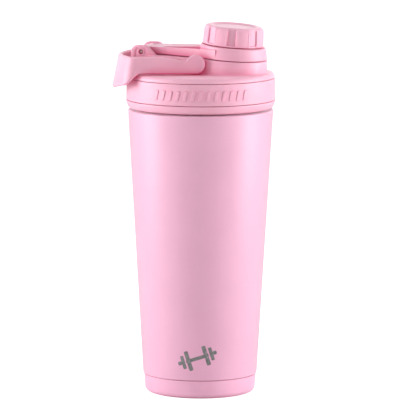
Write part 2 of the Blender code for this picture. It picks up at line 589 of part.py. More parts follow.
def handle_section(x, y, share):
    """Upper and lower edge of the handle at a point of its path."""
    top = HANDLE_TOP_Z - HANDLE_DROP * smooth_step(x, -22.0, PIVOT_X)
    apron = APRON_LOW_Z + APRON_RISE * y * y
    low = HANDLE_LOW_Z + (apron - HANDLE_LOW_Z) * smooth_step(share, 0.0, 0.8)
    lean = math.tan(math.radians(APRON_LEAN)) * smooth_step(share, 0.0, 0.5)
    return low, top, lean


def make_carry_handle():
    """Carry handle: a strap lofted along its path, with a round boss at each end."""
    half = handle_path()
    path = half + [(x, -y, share) for x, y, share in reversed(half[:-1])]
    form = bmesh.new()
    rings = []
    for i, (x, y, share) in enumerate(path):
        before, after = path[max(i - 1, 0)], path[min(i + 1, len(path) - 1)]
        along = Vector((after[0] - before[0], after[1] - before[1])).normalized()
        outward = Vector((-along.y, along.x))
        low, top, lean = handle_section(x, y, share)
        ring = []
        for side_share, z in ((0.5, top), (0.5, low), (-0.5, low), (-0.5, top)):
            push = side_share * HANDLE_THICK + lean * (top - z)
            ring.append(form.verts.new(((x + outward.x * push) * MM, (y + outward.y * push) * MM, z * MM)))
        rings.append(ring)
    for one, two in zip(rings, rings[1:]):
        for k in range(4):
            form.faces.new((one[k], one[(k + 1) % 4], two[(k + 1) % 4], two[k]))
    form.faces.new(rings[0])
    form.faces.new(list(reversed(rings[-1])))
    bmesh.ops.recalc_face_normals(form, faces=form.faces)
    mesh = bpy.data.meshes.new("carry_handle")
    form.to_mesh(mesh)
    form.free()
    handle = add_object("carry_handle", mesh, PARTS, MOULDED)
    for side_sign, hand in ((1, "left"), (-1, "right")):
        boss = rod(f"handle_boss_{hand}", BOSS_R, (PIVOT_X, side_sign * BOSS_IN_Y, PIVOT_Z),
                   (PIVOT_X, side_sign * BOSS_OUT_Y, PIVOT_Z), SMALL_STEPS, CUTTERS)
        combine(handle, boss, "UNION")
        bore = rod(f"handle_bore_{hand}", TRUNNION_BORE_R, (PIVOT_X, side_sign * 18.0, PIVOT_Z),
                   (PIVOT_X, side_sign * (BOSS_OUT_Y - 0.9), PIVOT_Z), TINY_STEPS, CUTTERS)
        combine(handle, bore, "DIFFERENCE")
    return hinge_parent(handle, "handle_axis", (PIVOT_X, 0.0, PIVOT_Z))


def make_agitator():
    """Mixing grid that clips in the socket under the lid: ring, open hub, spokes and hanging fins."""
    out_r, in_r = SOCKET_IN_R - GAP, SOCKET_IN_R - GAP - GRID_WALL
    ring = [(out_r, GRID_TOP_Z), (out_r, GRID_LOW_Z), (in_r, GRID_LOW_Z), (in_r, GRID_TOP_Z)]
    agitator = turned("mixing_agitator", ring, SMALL_STEPS, PARTS, AGITATOR_GREY)
    wall = [(HUB_OUT_R, HUB_TOP_Z), (HUB_OUT_R, HUB_LOW_Z), (HUB_IN_R, HUB_LOW_Z), (HUB_IN_R, HUB_TOP_Z)]
    hub = turned("agitator_hub", wall, TINY_STEPS, CUTTERS)
    fin = [(9.0, HUB_TOP_Z), (29.6, HUB_TOP_Z), (29.6, GRID_LOW_Z), (27.0, FIN_LOW_Z), (22.5, FIN_LOW_Z),
           (19.5, HUB_LOW_Z + 1.0), (9.0, HUB_LOW_Z + 1.0)]
    for i in range(FIN_COUNT):
        spin = Matrix.Rotation(math.radians(30.0 + 360.0 / FIN_COUNT * i), 4, "Z")
        spoke = extruded(f"agitator_fin_{i + 1}", fin, -FIN_THICK / 2, FIN_THICK / 2, "XZ", CUTTERS)
        spoke.matrix_world = spin
        combine(agitator, spoke, "UNION")
    combine(agitator, hub, "UNION")
    return agitator


clear_scene()
PARTS = new_collection("shaker_bottle")
CUTTERS = new_collection("cutters")
COATED = make_material("powder_coat_pink", PINK_BODY, 0.42)
MOULDED = make_material("moulded_pink", PINK, 0.45)
BASE_PINK = make_material("base_pink", PINK_WARM, 0.5)
BARE_STEEL = make_material("bare_steel", STEEL, 0.3, 1.0)
SEAL_WHITE = make_material("seal_silicone", SILICONE, 0.55)
AGITATOR_GREY = make_material("agitator_plastic", PINK_WARM, 0.4)

make_outer_shell()
make_inner_liner()
make_outer_bottom()
make_vacuum_seal()
make_getter()
make_base_cap()
make_lid_gasket()
make_lid_skirt()
make_grip_band()
make_lid_deck()
make_hinge_pin()
make_flip_arm()
make_cap_knob()
make_cap_insert()
make_cap_seal()
make_carry_handle()
make_agitator()
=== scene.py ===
"""Looks of the insulated shaker bottle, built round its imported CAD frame.

Lengths are millimetres and angles degrees, as in the design; MM turns them into metres where a mesh is
made. Joint axes and the pieces' extents are read from the frame.
"""
import json
import math

import bmesh
import bpy
from mathutils import Matrix, Vector


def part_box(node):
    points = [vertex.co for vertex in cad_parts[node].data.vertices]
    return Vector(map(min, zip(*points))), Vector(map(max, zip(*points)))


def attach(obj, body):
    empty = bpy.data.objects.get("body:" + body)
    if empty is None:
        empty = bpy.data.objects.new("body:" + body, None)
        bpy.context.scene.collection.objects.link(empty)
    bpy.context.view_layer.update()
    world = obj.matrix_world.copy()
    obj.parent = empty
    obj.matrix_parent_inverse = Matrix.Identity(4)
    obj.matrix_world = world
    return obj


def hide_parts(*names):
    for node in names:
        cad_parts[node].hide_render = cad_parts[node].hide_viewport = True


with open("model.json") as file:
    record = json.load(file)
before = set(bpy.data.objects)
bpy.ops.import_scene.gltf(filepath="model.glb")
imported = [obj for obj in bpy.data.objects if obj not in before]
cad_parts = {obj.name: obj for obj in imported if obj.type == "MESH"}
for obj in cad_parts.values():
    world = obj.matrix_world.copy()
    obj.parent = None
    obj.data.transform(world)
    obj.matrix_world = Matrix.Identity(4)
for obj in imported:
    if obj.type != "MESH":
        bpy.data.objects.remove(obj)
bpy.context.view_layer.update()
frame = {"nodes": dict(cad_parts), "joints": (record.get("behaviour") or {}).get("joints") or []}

MM = 0.001
JOINTS = {joint["name"]: joint for joint in frame["joints"]}


def span(node):
    """Lowest and highest corner of a CAD node, in millimetres."""
    low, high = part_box(node)
    return low / MM, high / MM


def joint_place(name):
    return Vector(JOINTS[name]["pos_m"]) / MM


# Driving sizes, from the frame
SHELL_HIGH = span("outer_shell")[1]
SKIRT_LOW, SKIRT_HIGH = span("lid_skirt")
BAND_LOW, BAND_HIGH = span("grip_band")
DECK_LOW = span("lid_deck")[0]
BASE_HIGH = span("base_cap")[1]
HINGE = joint_place("arm_flip")
PIVOT = joint_place("handle_swing")
CAP_SEAT = joint_place("cap_turn")
CAP_AXIS = Vector(JOINTS["cap_turn"]["axis"]).normalized()
AXIS_LEAN = math.degrees(math.atan2(CAP_AXIS.x, CAP_AXIS.z))

# Steel bottle
BODY_TOP_Z = SKIRT_LOW.z - 1.3
BODY_TOP_R = SHELL_HIGH.x
BODY_LOW_Z, BODY_LOW_R = BASE_HIGH.z + 0.4, 36.42
NECK_R, NECK_TOP_Z = 41.2, SHELL_HIGH.z
RIM_TOP_Z = NECK_TOP_Z + 1.0
SHELL_WALL, LINER_WALL, VACUUM_GAP, GAP = 0.7, 0.6, 2.0, 0.3
FOOT_R, FOOT_LOW_Z = 33.0, 2.6
LINER_FLOOR_Z, LINER_CORNER, LINER_SHOULDER_Z = 15.5, 7.0, 174.0
BASE_FLOOR_Z, BASE_LOW_R, BASE_ROUND = 2.2, 35.1, 3.4
GROOVE_OUT_R, GROOVE_IN_R, GROOVE_DEPTH = 27.0, 24.0, 0.6
THREAD_LEAD, THREAD_TURN, THREAD_RIB_R = 12.0, 0.75, 1.0
NECK_THREAD_Z, LID_THREAD_DROP = 186.6, 2.4

# Lid
SKIRT_IN_R, SKIRT_OUT_R = 43.2, 45.1
LID_LOW_Z = SKIRT_LOW.z
BAND_LOW_Z, BAND_TOP_Z, BAND_LOW_R, BAND_TOP_R = BAND_LOW.z, BAND_HIGH.z, 47.4, 47.15
RING_WIDE_R = SKIRT_HIGH.x
DECK_LOW_Z, DECK_TOP_Z, DECK_R, DECK_ROUND = BAND_TOP_Z + 0.3, 205.3, 47.05, 2.5
SOCKET_IN_R, SOCKET_OUT_R, SOCKET_LOW_Z = 31.5, 33.3, DECK_LOW.z
RIB_COUNT, RIB_PITCH, RIB_WIDTH, RIB_RELIEF, RIB_SLANT = 13, 6.0, 2.4, 0.32, 12.0
RIB_LOW_Z, RIB_TOP_Z, FRONT_ANGLE = 191.2, 197.5, -73.0
MARK_ANGLE, MARK_Z, MARK_SLANT, MARK_PROUD = FRONT_ANGLE - 2.6, 26.6, 18.0, 0.05
GASKET_IN_R, GASKET_OUT_R, GASKET_TOP_Z = 38.8, 42.6, RIM_TOP_Z + 2.3

# Platform, arm and handle
KNEE_X, KNEE_Z, REAR_SLOPE, FRONT_SLOPE = 8.0, 215.2, 1.8, 3.2
RING_X, RING_R = 21.6, 21.4
EAR_OUT_Y, EAR_IN_Y, EAR_REAR_X = 14.5, 11.3, HINGE.x - 6.8
PIN_R, PIN_BORE_R = 1.0, 1.3
RECESS_LOW_Z, SLOT_LOW_Z, SLOT_TOP_Z = 213.0, 213.6, 226.0
SPOUT_IN_R, SPOUT_OUT_R, SPOUT_TOP_H = 10.5, 12.5, 5.0
CAP_HEIGHT, CAP_LOW_R, CAP_DRAFT, CAP_CORNER = 12.3, 19.3, 3.4, 3.0
GRIP_COUNT, GRIP_WIDTH, GRIP_HEIGHT, GRIP_DEPTH, GRIP_LOW, GRIP_ANGLE = 8, 5.9, 10.4, 0.8, 1.0, -77.2
CAP_ROOF_H, CUP_IN_R, CUP_PLATE_H = CAP_HEIGHT - 1.9, 15.0, 7.2
SEAL_R, SEAL_TOP_H, LUG_WIDTH = 14.5, 6.9, 40.0
RING_TOP_H, RING_HOLE_R = -0.5, 16.6
FLANGE_LOW_H, FLANGE_TOP_H = -7.1, -6.0
ARM_GAP, ARM_TOP_Z, ARM_TOP_SLOPE, ARM_DISH, ARM_UNDERCUT = 0.5, 221.5, 0.1, 1.0, 0.3
ARM_HALF_WIDTH, ARM_FLARE_X, ARM_FRONT_X, BARREL_R = 10.9, -20.0, 15.6, 3.3
ARM_FLARE, ARM_FLARE_CURVE = 0.1775, 0.00275
PANEL_REAR_X, PANEL_FRONT_X, PANEL_REAR_HALF, PANEL_FRONT_HALF = -25.0, 1.6, 0.8, 9.6
PANEL_DEPTH, PANEL_DEPTH_X = 2.3, -12.0    # depth below the arm's top, and where it is measured
BOSS_R, BOSS_IN_Y, BOSS_OUT_Y = 6.15, 21.75, 24.75
TRUNNION_PAD_R, TRUNNION_R, TRUNNION_BORE_R = 2.9, 2.2, 2.5
HANDLE_THICK, HANDLE_FLARE, HANDLE_DROP, BOSS_FILLET = 3.0, 20.0, 3.1, 2.5
APRON_R, APRON_CORNER, APRON_LEAN, APRON_RISE = 50.8, 8.0, 10.6, 0.0037
HANDLE_TOP_Z, HANDLE_LOW_Z, APRON_LOW_Z = 217.0, 206.1, 194.4

# Mixing grid
GRID_TOP_Z, GRID_LOW_Z, GRID_WALL = 199.5, 190.0, 2.3
HUB_OUT_R, HUB_IN_R, HUB_TOP_Z, HUB_LOW_Z = 9.6, 7.8, 194.0, 186.0
FIN_COUNT, FIN_THICK, FIN_LOW_Z = 6, 1.8, 177.0

# Colours, linear
LID_PINK = (0.94, 0.48, 0.62)
COAT_PINK = (0.88, 0.465, 0.64)
BASE_PINK = (0.90, 0.48, 0.65)
# Painted shade colours: hollows and gaps are darkened towards these where nearby faces shut out light
HOLLOW_SHADE_PINK, GAP_SHADE_CRIMSON = (0.80, 0.10, 0.27), (0.42, 0.03, 0.11)

# View and light; the room brightens to the backdrop between two cosines of the angle from its middle
VIEW_AZIMUTH, VIEW_ELEVATION, VIEW_DISTANCE, VIEW_LENS = 17.0, 8.09, 2800.0, 379.0
VIEW_FOCUS_Z, VIEW_RIGHT, VIEW_UP, VIEW_ROLL = 100.0, 4.86, 17.56, 0.17
ROOM_LIGHT, BACKDROP_LIGHT, BACKDROP_DIP = 0.45, 2.0, 0.45
ROOM_COSINE, BACKDROP_COSINE = 0.2, 0.95
FLOOR_PALE, FLOOR_GLOW, SOFTBOX_AIM_Z = (0.72, 0.70, 0.70), 0.80, 120.0


# --- camera, light and floor ---------------------------------------------------------------------

def outwards(azimuth, elevation):
    """Direction from the object. Azimuth counts round from the front, which is -Y."""
    turn, rise = math.radians(azimuth), math.radians(elevation)
    return Vector((math.sin(turn) * math.cos(rise), -math.cos(turn) * math.cos(rise), math.sin(rise)))


def view_axes():
    """Directions from the object to the camera, to the picture's right and to its top."""
    back = outwards(VIEW_AZIMUTH, VIEW_ELEVATION)
    turn = math.radians(VIEW_AZIMUTH)
    right = Vector((math.cos(turn), math.sin(turn), 0.0))
    return back, right, back.cross(right)


def pointed(direction, axis="-Z"):
    """Rotation that turns a camera, a light or another thing's axis along a direction."""
    return direction.to_track_quat(axis, "Y").to_matrix().to_4x4()


def fill(node, values):
    """Set a shader node's input values by their socket names."""
    for name, value in values.items():
        node.inputs[name].default_value = value


def make_camera():
    back, right, up = view_axes()
    focus = Vector((0.0, 0.0, VIEW_FOCUS_Z))
    place = focus + back * VIEW_DISTANCE
    aim = focus + right * VIEW_RIGHT + up * VIEW_UP
    data = bpy.data.cameras.new("camera")
    data.lens = VIEW_LENS
    data.sensor_width = 36.0
    data.clip_end = 50.0
    camera = bpy.data.objects.new("camera", data)
    roll = Matrix.Rotation(math.radians(VIEW_ROLL), 4, "Z")
    camera.matrix_world = Matrix.Translation(place * MM) @ pointed(aim - place) @ roll
    bpy.context.scene.collection.objects.link(camera)
    bpy.context.scene.camera = camera


def softbox(name, azimuth, elevation, distance, width, height, power):
    """A large area light that faces the bottle's middle. Azimuth counts from the camera's side; the
    distance and the sizes are metres."""
    aim = Vector((0.0, 0.0, SOFTBOX_AIM_Z * MM))
    place = aim + distance * outwards(azimuth + VIEW_AZIMUTH, elevation)
    data = bpy.data.lights.new(name, "AREA")
    data.shape = "RECTANGLE"
    data.size = width
    data.size_y = height
    data.energy = power
    light = bpy.data.objects.new(name, data)
    light.matrix_world = Matrix.Translation(place) @ pointed(aim - place)
    bpy.context.scene.collection.objects.link(light)


def make_world():
    """White to the camera. Other rays meet a bright backdrop behind the object and a dim room in front."""
    world = bpy.data.worlds.new("studio")
    world.use_nodes = True
    add, link = world.node_tree.nodes.new, world.node_tree.links.new
    world.node_tree.nodes.clear()
    away = add("ShaderNodeTexCoord")
    facing = add("ShaderNodeVectorMath")
    facing.operation = "DOT_PRODUCT"
    back = view_axes()[0]
    facing.inputs[1].default_value = Vector((-back.x, -back.y, -BACKDROP_DIP)).normalized()
    link(away.outputs["Generated"], facing.inputs[0])
    strength = add("ShaderNodeMapRange")
    fill(strength, {"From Min": ROOM_COSINE, "From Max": BACKDROP_COSINE,
                    "To Min": ROOM_LIGHT, "To Max": BACKDROP_LIGHT})
    link(facing.outputs["Value"], strength.inputs["Value"])
    lit, seen = add("ShaderNodeBackground"), add("ShaderNodeBackground")
    fill(lit, {"Color": (1.0, 0.99, 0.99, 1.0)})
    fill(seen, {"Color": (1.0, 1.0, 1.0, 1.0), "Strength": 1.0})
    link(strength.outputs["Result"], lit.inputs["Strength"])
    mix = add("ShaderNodeMixShader")
    link(add("ShaderNodeLightPath").outputs["Is Camera Ray"], mix.inputs["Fac"])
    link(lit.outputs["Background"], mix.inputs[1])
    link(seen.outputs["Background"], mix.inputs[2])
    link(mix.outputs["Shader"], add("ShaderNodeOutputWorld").inputs["Surface"])
    bpy.context.scene.world = world


def added(name, form):
    """Scene object made from a bmesh, which is used up."""
    mesh = bpy.data.meshes.new(name)
    form.to_mesh(mesh)
    form.free()
    thing = bpy.data.objects.new(name, mesh)
    bpy.context.scene.collection.objects.link(thing)
    return thing


def make_floor():
    """Plain floor that shows almost white and throws little light back."""
    form = bmesh.new()
    bmesh.ops.create_circle(form, cap_ends=True, segments=96, radius=14.0)
    floor = added("floor", form)
    material = bpy.data.materials.new("floor_white")
    material.use_nodes = True
    tree = material.node_tree
    shader = tree.nodes["Principled BSDF"]
    fill(shader, {"Base Color": (*FLOOR_PALE, 1.0), "Roughness": 0.9, "Specular IOR Level": 0.0,
                  "Emission Color": (1.0, 1.0, 1.0, 1.0)})
    path = tree.nodes.new("ShaderNodeLightPath")
    glow = tree.nodes.new("ShaderNodeMath")
    glow.operation = "MULTIPLY"
    glow.inputs[1].default_value = FLOOR_GLOW
    tree.links.new(path.outputs["Is Camera Ray"], glow.inputs[0])
    tree.links.new(glow.outputs["Value"], shader.inputs["Emission Strength"])
    floor.data.materials.append(material)


# --- materials -----------------------------------------------------------------------------------

class Nodes:
    """Short names for adding and linking shader nodes of one material."""

    def __init__(self, name):
        self.material = bpy.data.materials.new(name)
        self.material.use_nodes = True
        self.tree = self.material.node_tree
        self.shader = self.tree.nodes["Principled BSDF"]
        self.place = self.tree.nodes.new("ShaderNodeTexCoord").outputs["Object"]

    def add(self, kind, **values):
        node = self.tree.nodes.new(kind)
        for key, value in values.items():
            setattr(node, key, value)
        return node

    def link(self, out, into):
        self.tree.links.new(out, into)

    def feed(self, socket, out):
        self.link(out, self.shader.inputs[socket])

    def noise(self, size, detail, place=None):
        """Cloudy pattern whose features are about size millimetres across."""
        node = self.add("ShaderNodeTexNoise")
        fill(node, {"Scale": 1.0 / (size * MM), "Detail": detail})
        self.link(place or self.place, node.inputs["Vector"])
        return node.outputs["Fac"]

    def ranged(self, value, low, high, start=0.3, end=0.7):
        """A value's stretch from start to end, mapped to low to high."""
        node = self.add("ShaderNodeMapRange")
        fill(node, {"From Min": start, "From Max": end, "To Min": low, "To Max": high})
        self.link(value, node.inputs["Value"])
        return node.outputs["Result"]

    def blend(self, share, one, two):
        """Mix of two colours; each is a tuple or another node's output."""
        node = self.add("ShaderNodeMix", data_type="RGBA")
        self.link(share, node.inputs["Factor"])
        for key, colour in (("A", one), ("B", two)):
            socket = [s for s in node.inputs if s.name == key and s.type == "RGBA"][0]
            if isinstance(colour, tuple):
                socket.default_value = (*colour, 1.0)
            else:
                self.link(colour, socket)
        return [s for s in node.outputs if s.type == "RGBA"][0]

    def clouds(self, size, detail, one, two):
        """Two colours in soft clouds about size millimetres across."""
        return self.blend(self.ranged(self.noise(size, detail), 0.0, 1.0), one, two)

    def roughness(self, size, detail, low, high):
        """Uneven gloss: the roughness wanders between low and high."""
        self.feed("Roughness", self.ranged(self.noise(size, detail), low, high))

    def bump(self, height, depth, normal=None):
        """Relief of up to depth millimetres."""
        node = self.add("ShaderNodeBump")
        fill(node, {"Strength": 1.0, "Distance": depth * MM})
        self.link(height, node.inputs["Height"])
        if normal:
            self.link(normal, node.inputs["Normal"])
        return node.outputs["Normal"]

    def painted_hollow_shade(self, colour, reach, share, shade_tint):
        """Painted shade: colour deepened where nearby faces shut the light out, standing in for the light
        that pink plastic bounces among its own faces.
        """
        node = self.add("ShaderNodeAmbientOcclusion", samples=6)
        fill(node, {"Distance": reach * MM})
        return self.blend(self.ranged(node.outputs["AO"], 1.0, 0.0, 1.0 - share, 0.95), colour, shade_tint)

    def edges(self):
        """1 along outer edges, which are lightened as polish wear and painted highlight; 0 on faces."""
        return self.ranged(self.add("ShaderNodeNewGeometry").outputs["Pointiness"], 0.0, 1.0, 0.52, 0.6)


def shade(colour, factor):
    return tuple(min(1.0, channel * factor) for channel in colour)


def plastic(name, colour, roughness, grain, relief, hollow):
    """Moulded plastic: fine etched texture, faint mottling, outer edges lightened as polish wear and
    painted highlight, and painted shade deepening the colour in hollow places.
    grain and relief size the texture, and hollow is how far the painted hollow shade reaches, in
    millimetres."""
    nodes = Nodes(name)
    mottled = nodes.clouds(18.0, 3.0, shade(colour, 0.965), shade(colour, 1.03))
    # Outer edges lighter: partly polish wear, partly a painted highlight
    worn_and_highlit = nodes.blend(nodes.edges(), mottled, shade(colour, 1.07))
    # Painted shade: the colour deepens towards a dark pink in hollows, where nearby faces shut out light
    nodes.feed("Base Color", nodes.painted_hollow_shade(worn_and_highlit, hollow, 0.8, HOLLOW_SHADE_PINK))
    nodes.roughness(6.0, 4.0, roughness - 0.05, roughness + 0.06)
    texture = nodes.bump(nodes.noise(grain, 3.0), relief)
    nodes.feed("Normal", nodes.bump(nodes.noise(9.0, 1.0), 0.012, texture))
    fill(nodes.shader, {"Specular IOR Level": 0.42, "Sheen Weight": 0.2, "Sheen Roughness": 0.45,
                        "Subsurface Weight": 0.12, "Subsurface Radius": (1.0, 0.42, 0.6),
                        "Subsurface Scale": 2.2 * MM})
    return nodes.material


def powder_coat(name, colour):
    """Powder coat on steel: fine sandy relief, orange-peel waves and a few darker specks."""
    nodes = Nodes(name)
    cloudy = nodes.clouds(25.0, 3.0, shade(colour, 0.975), shade(colour, 1.02))
    specks = nodes.ranged(nodes.noise(0.45, 1.0), 0.0, 0.5, 0.66, 0.8)
    speckled = nodes.blend(specks, cloudy, shade(colour, 0.8))
    # Painted shade: the coat darkens towards crimson in gaps and creases, where nearby faces shut out light
    nodes.feed("Base Color", nodes.painted_hollow_shade(speckled, 2.0, 0.9, GAP_SHADE_CRIMSON))
    nodes.roughness(3.0, 4.0, 0.36, 0.46)
    sand = nodes.bump(nodes.noise(0.32, 2.0), 0.022)
    nodes.feed("Normal", nodes.bump(nodes.noise(2.2, 1.0), 0.010, sand))
    fill(nodes.shader, {"Specular IOR Level": 0.5, "Coat Weight": 0.12, "Coat Roughness": 0.3})
    fill(nodes.shader, {"Sheen Weight": 1.0, "Sheen Tint": (1.0, 0.82, 0.91, 1.0), "Sheen Roughness": 0.45})
    return nodes.material


def steel(name, colour, roughness, streak):
    """Bare steel with fine turning marks round the axis; streak is their height in millimetres."""
    nodes = Nodes(name)
    stretch = nodes.add("ShaderNodeMapping")
    fill(stretch, {"Scale": (0.04, 0.04, 1.0)})
    nodes.link(nodes.place, stretch.inputs["Vector"])
    marks = nodes.noise(streak, 3.0, stretch.outputs["Vector"])
    tinted = nodes.blend(nodes.ranged(marks, 0.0, 1.0), shade(colour, 0.86), shade(colour, 1.08))
    nodes.feed("Base Color", tinted)
    nodes.roughness(4.0, 4.0, roughness - 0.06, roughness + 0.08)
    nodes.feed("Normal", nodes.bump(marks, 0.006))
    fill(nodes.shader, {"Metallic": 1.0})
    return nodes.material


def silicone(name, colour):
    """Soft pale rubber with a fine bloom."""
    nodes = Nodes(name)
    nodes.feed("Base Color", nodes.clouds(8.0, 3.0, shade(colour, 0.95), shade(colour, 1.03)))
    nodes.roughness(2.0, 3.0, 0.5, 0.64)
    nodes.feed("Normal", nodes.bump(nodes.noise(0.25, 2.0), 0.015))
    fill(nodes.shader, {"Subsurface Weight": 0.2, "Subsurface Scale": 1.5 * MM})
    return nodes.material


def etched_steel(name):
    """Laser-etched steel: grey, matt, finely grained."""
    nodes = Nodes(name)
    nodes.feed("Base Color", nodes.clouds(1.6, 4.0, (0.19, 0.195, 0.195), (0.32, 0.33, 0.325)))
    nodes.roughness(0.6, 3.0, 0.45, 0.65)
    nodes.feed("Normal", nodes.bump(nodes.noise(0.18, 2.0), 0.02))
    fill(nodes.shader, {"Metallic": 0.6})
    return nodes.material


# --- shapes --------------------------------------------------------------------------------------

def arc(centre_a, centre_b, radius, start, end, steps):
    """Points on a circle from the start angle to the end angle."""
    points = []
    for i in range(steps + 1):
        angle = math.radians(start + (end - start) * i / steps)
        points.append((centre_a + radius * math.cos(angle), centre_b + radius * math.sin(angle)))
    return points


def rounded(corners, steps=5, closed=True):
    """Outline with rounded corners. Each corner is (a, b) or (a, b, radius)."""
    points = []
    count = len(corners)
    for i, corner in enumerate(corners):
        here = Vector(corner[:2])
        radius = corner[2] if len(corner) > 2 else 0.0
        if radius == 0.0 or (not closed and i in (0, count - 1)):
            points.append(tuple(here))
            continue
        back = (Vector(corners[i - 1][:2]) - here).normalized()
        ahead = (Vector(corners[(i + 1) % count][:2]) - here).normalized()
        half = back.angle(ahead) / 2
        middle = here + (back + ahead).normalized() * radius / math.sin(half)
        start = here + back * radius / math.tan(half) - middle
        end = here + ahead * radius / math.tan(half) - middle
        from_angle = math.atan2(start.y, start.x)
        turn = math.atan2(end.y, end.x) - from_angle
        turn = (turn + math.pi) % (2 * math.pi) - math.pi
        first, last = math.degrees(from_angle), math.degrees(from_angle + turn)
        points += arc(middle.x, middle.y, radius, first, last, steps)
    return points


def rectangle(low_a, high_a, low_b, high_b, corner):
    """Rounded rectangle, anticlockwise."""
    corners = (low_a, low_b), (high_a, low_b), (high_a, high_b), (low_a, high_b)
    return rounded([(a, b, corner) for a, b in corners])


def inset(outline, distance):
    """The outline moved inwards by distance; it runs anticlockwise."""
    moved = []
    for i, point in enumerate(outline):
        here = Vector(point)
        into = (here - Vector(outline[i - 1])).normalized()
        out = (Vector(outline[(i + 1) % len(outline)]) - here).normalized()
        normal_in, normal_out = Vector((-into.y, into.x)), Vector((-out.y, out.x))
        mitre = (normal_in + normal_out) / max(0.3, 1.0 + normal_in.dot(normal_out))
        moved.append(tuple(here + mitre * distance))
    return moved


def skinned(name, rings, wrap=False):
    """Mesh object from rings of points in millimetres. A ring of one point is a pole."""
    form = bmesh.new()
    rows = [[form.verts.new(Vector(point) * MM) for point in ring] for ring in rings]
    pairs = list(zip(rows, rows[1:])) + ([(rows[-1], rows[0])] if wrap else [])
    for one, two in pairs:
        count = max(len(one), len(two))
        for i in range(count):
            ahead = (i + 1) % count
            corners = one[i % len(one)], one[ahead % len(one)], two[ahead % len(two)], two[i % len(two)]
            form.faces.new(list(dict.fromkeys(corners)))
    if not wrap:
        for row in (rows[0], rows[-1]):
            if len(row) > 2:
                form.faces.new(row)
    bmesh.ops.recalc_face_normals(form, faces=form.faces)
    return added(name, form)


def circle(radius, z, steps):
    """Points round the Z axis, or one point on it."""
    count = steps if radius > 0.0001 else 1
    angles = [2 * math.pi * i / steps for i in range(count)]
    return [Vector((radius * math.cos(angle), radius * math.sin(angle), z)) for angle in angles]


def turned(name, profile, steps=160, closed=True, frame_matrix=Matrix()):
    """Turn a profile of (radius, z) round the Z axis of a frame."""
    rings = [[frame_matrix @ point for point in circle(radius, z, steps)] for radius, z in profile]
    return skinned(name, rings, wrap=closed)


def bends(steps):
    """Quarter circle from 0 to 90 degrees, as (1 - sine, 1 - cosine)."""
    angles = [math.radians(90.0 * i / steps) for i in range(steps + 1)]
    return [(1 - math.sin(angle), 1 - math.cos(angle)) for angle in angles]


def slab(name, outline, bottom, top, place, low_edge=0.3, high_edge=0.8, steps=4, draft=0.0, crown=()):
    """Thick outline with rounded edges. bottom and top are heights, or functions of (a, b) that give them;
    place makes points. crown lists further insets of the top face, so that it can follow a curved top."""
    levels = [(low_edge * sine, bottom, low_edge * cosine) for sine, cosine in bends(steps)]
    levels += [(draft + high_edge * cosine, top, -high_edge * sine) for sine, cosine in bends(steps)]
    levels += [(draft + high_edge + extra, top, 0.0) for extra in crown]
    rings = []
    for distance, level, shift in levels:
        height = level if callable(level) else (lambda a, b: level)
        rings.append([place(a, b, height(a, b) + shift) for a, b in inset(outline, distance)])
    return skinned(name, rings)


def upright(a, b, h):
    return Vector((a, b, h))


def sideways(a, b, h):
    """Outline in the XZ plane, thickness along -Y, so that an anticlockwise outline faces out."""
    return Vector((a, -h, b))


def rod(name, radius, start, end, steps=48, edge=0.0):
    """Round bar from start to end; edge is the rounding of its ends."""
    start, end = Vector(start), Vector(end)
    length = (end - start).length
    turn = pointed(end - start, "Z")
    flank = [(radius, 0.0), (radius, length)]
    if edge > 0.0:
        flank = arc(radius - edge, edge, edge, -90.0, 0.0, 4)
        flank += arc(radius - edge, length - edge, edge, 0.0, 90.0, 4)
    profile = [(0.0, 0.0)] + flank + [(0.0, length)]
    return turned(name, profile, steps, closed=False, frame_matrix=Matrix.Translation(start) @ turn)


def cross_rod(name, radius, centre, start_y, end_y, steps=48, edge=0.0):
    """Round bar along Y, through a hinge's axis."""
    return rod(name, radius, (centre.x, start_y, centre.z), (centre.x, end_y, centre.z), steps, edge)


def combine(target, tool, operation):
    """Boolean with a tool that isn't kept."""
    step = target.modifiers.new(operation.lower(), "BOOLEAN")
    step.operation = operation
    step.object = tool
    step.solver = "MANIFOLD"
    bpy.context.view_layer.update()
    mesh = bpy.data.meshes.new_from_object(target.evaluated_get(bpy.context.evaluated_depsgraph_get()))
    target.modifiers.clear()
    target.data = mesh
    bpy.data.objects.remove(tool)


def fuse(target, tool):
    combine(target, tool, "UNION")


def cut(target, tool):
    combine(target, tool, "DIFFERENCE")


def finish(thing, body, slot, material, *nodes, sharp=35.0):
    """Shade and colour a piece, put it on its body and hide the CAD nodes that it stands for."""
    thing.data.materials.clear()
    thing.data.materials.append(material)
    thing.data.shade_smooth()
    thing.data.set_sharp_from_angle(angle=math.radians(sharp))
    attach(thing, body)
    if nodes:
        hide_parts(*nodes)


def smooth_step(value, start, end):
    """0 before start, 1 after end, and an even S between them."""
    share = min(1.0, max(0.0, (value - start) / (end - start)))
    return share * share * (3.0 - 2.0 * share)


def body_radius(z):
    share = (z - BODY_LOW_Z) / (BODY_TOP_Z - BODY_LOW_Z)
    return BODY_LOW_R + share * (BODY_TOP_R - BODY_LOW_R)


def liner_radius(z):
    return body_radius(z) - SHELL_WALL - VACUUM_GAP


def platform_top(x):
    """Height of the platform's top: two planes that meet at the knee."""
    slope = REAR_SLOPE if x < KNEE_X else FRONT_SLOPE
    return KNEE_Z + (KNEE_X - x) * math.tan(math.radians(slope))


def arm_half_width(x):
    """Half the width of the arm's plate: even between the ears, then flaring out to the collar."""
    reach = max(0.0, x - ARM_FLARE_X)
    return ARM_HALF_WIDTH + ARM_FLARE * reach + ARM_FLARE_CURVE * reach * reach


def arm_top(x, y=0.0):
    """Top of the arm: nearly level along its edges, dished in between."""
    dish = ARM_DISH * (1.0 - min(1.0, abs(y) / arm_half_width(x)) ** 4)
    return ARM_TOP_Z - (x + 30.0) * math.tan(math.radians(ARM_TOP_SLOPE)) - dish


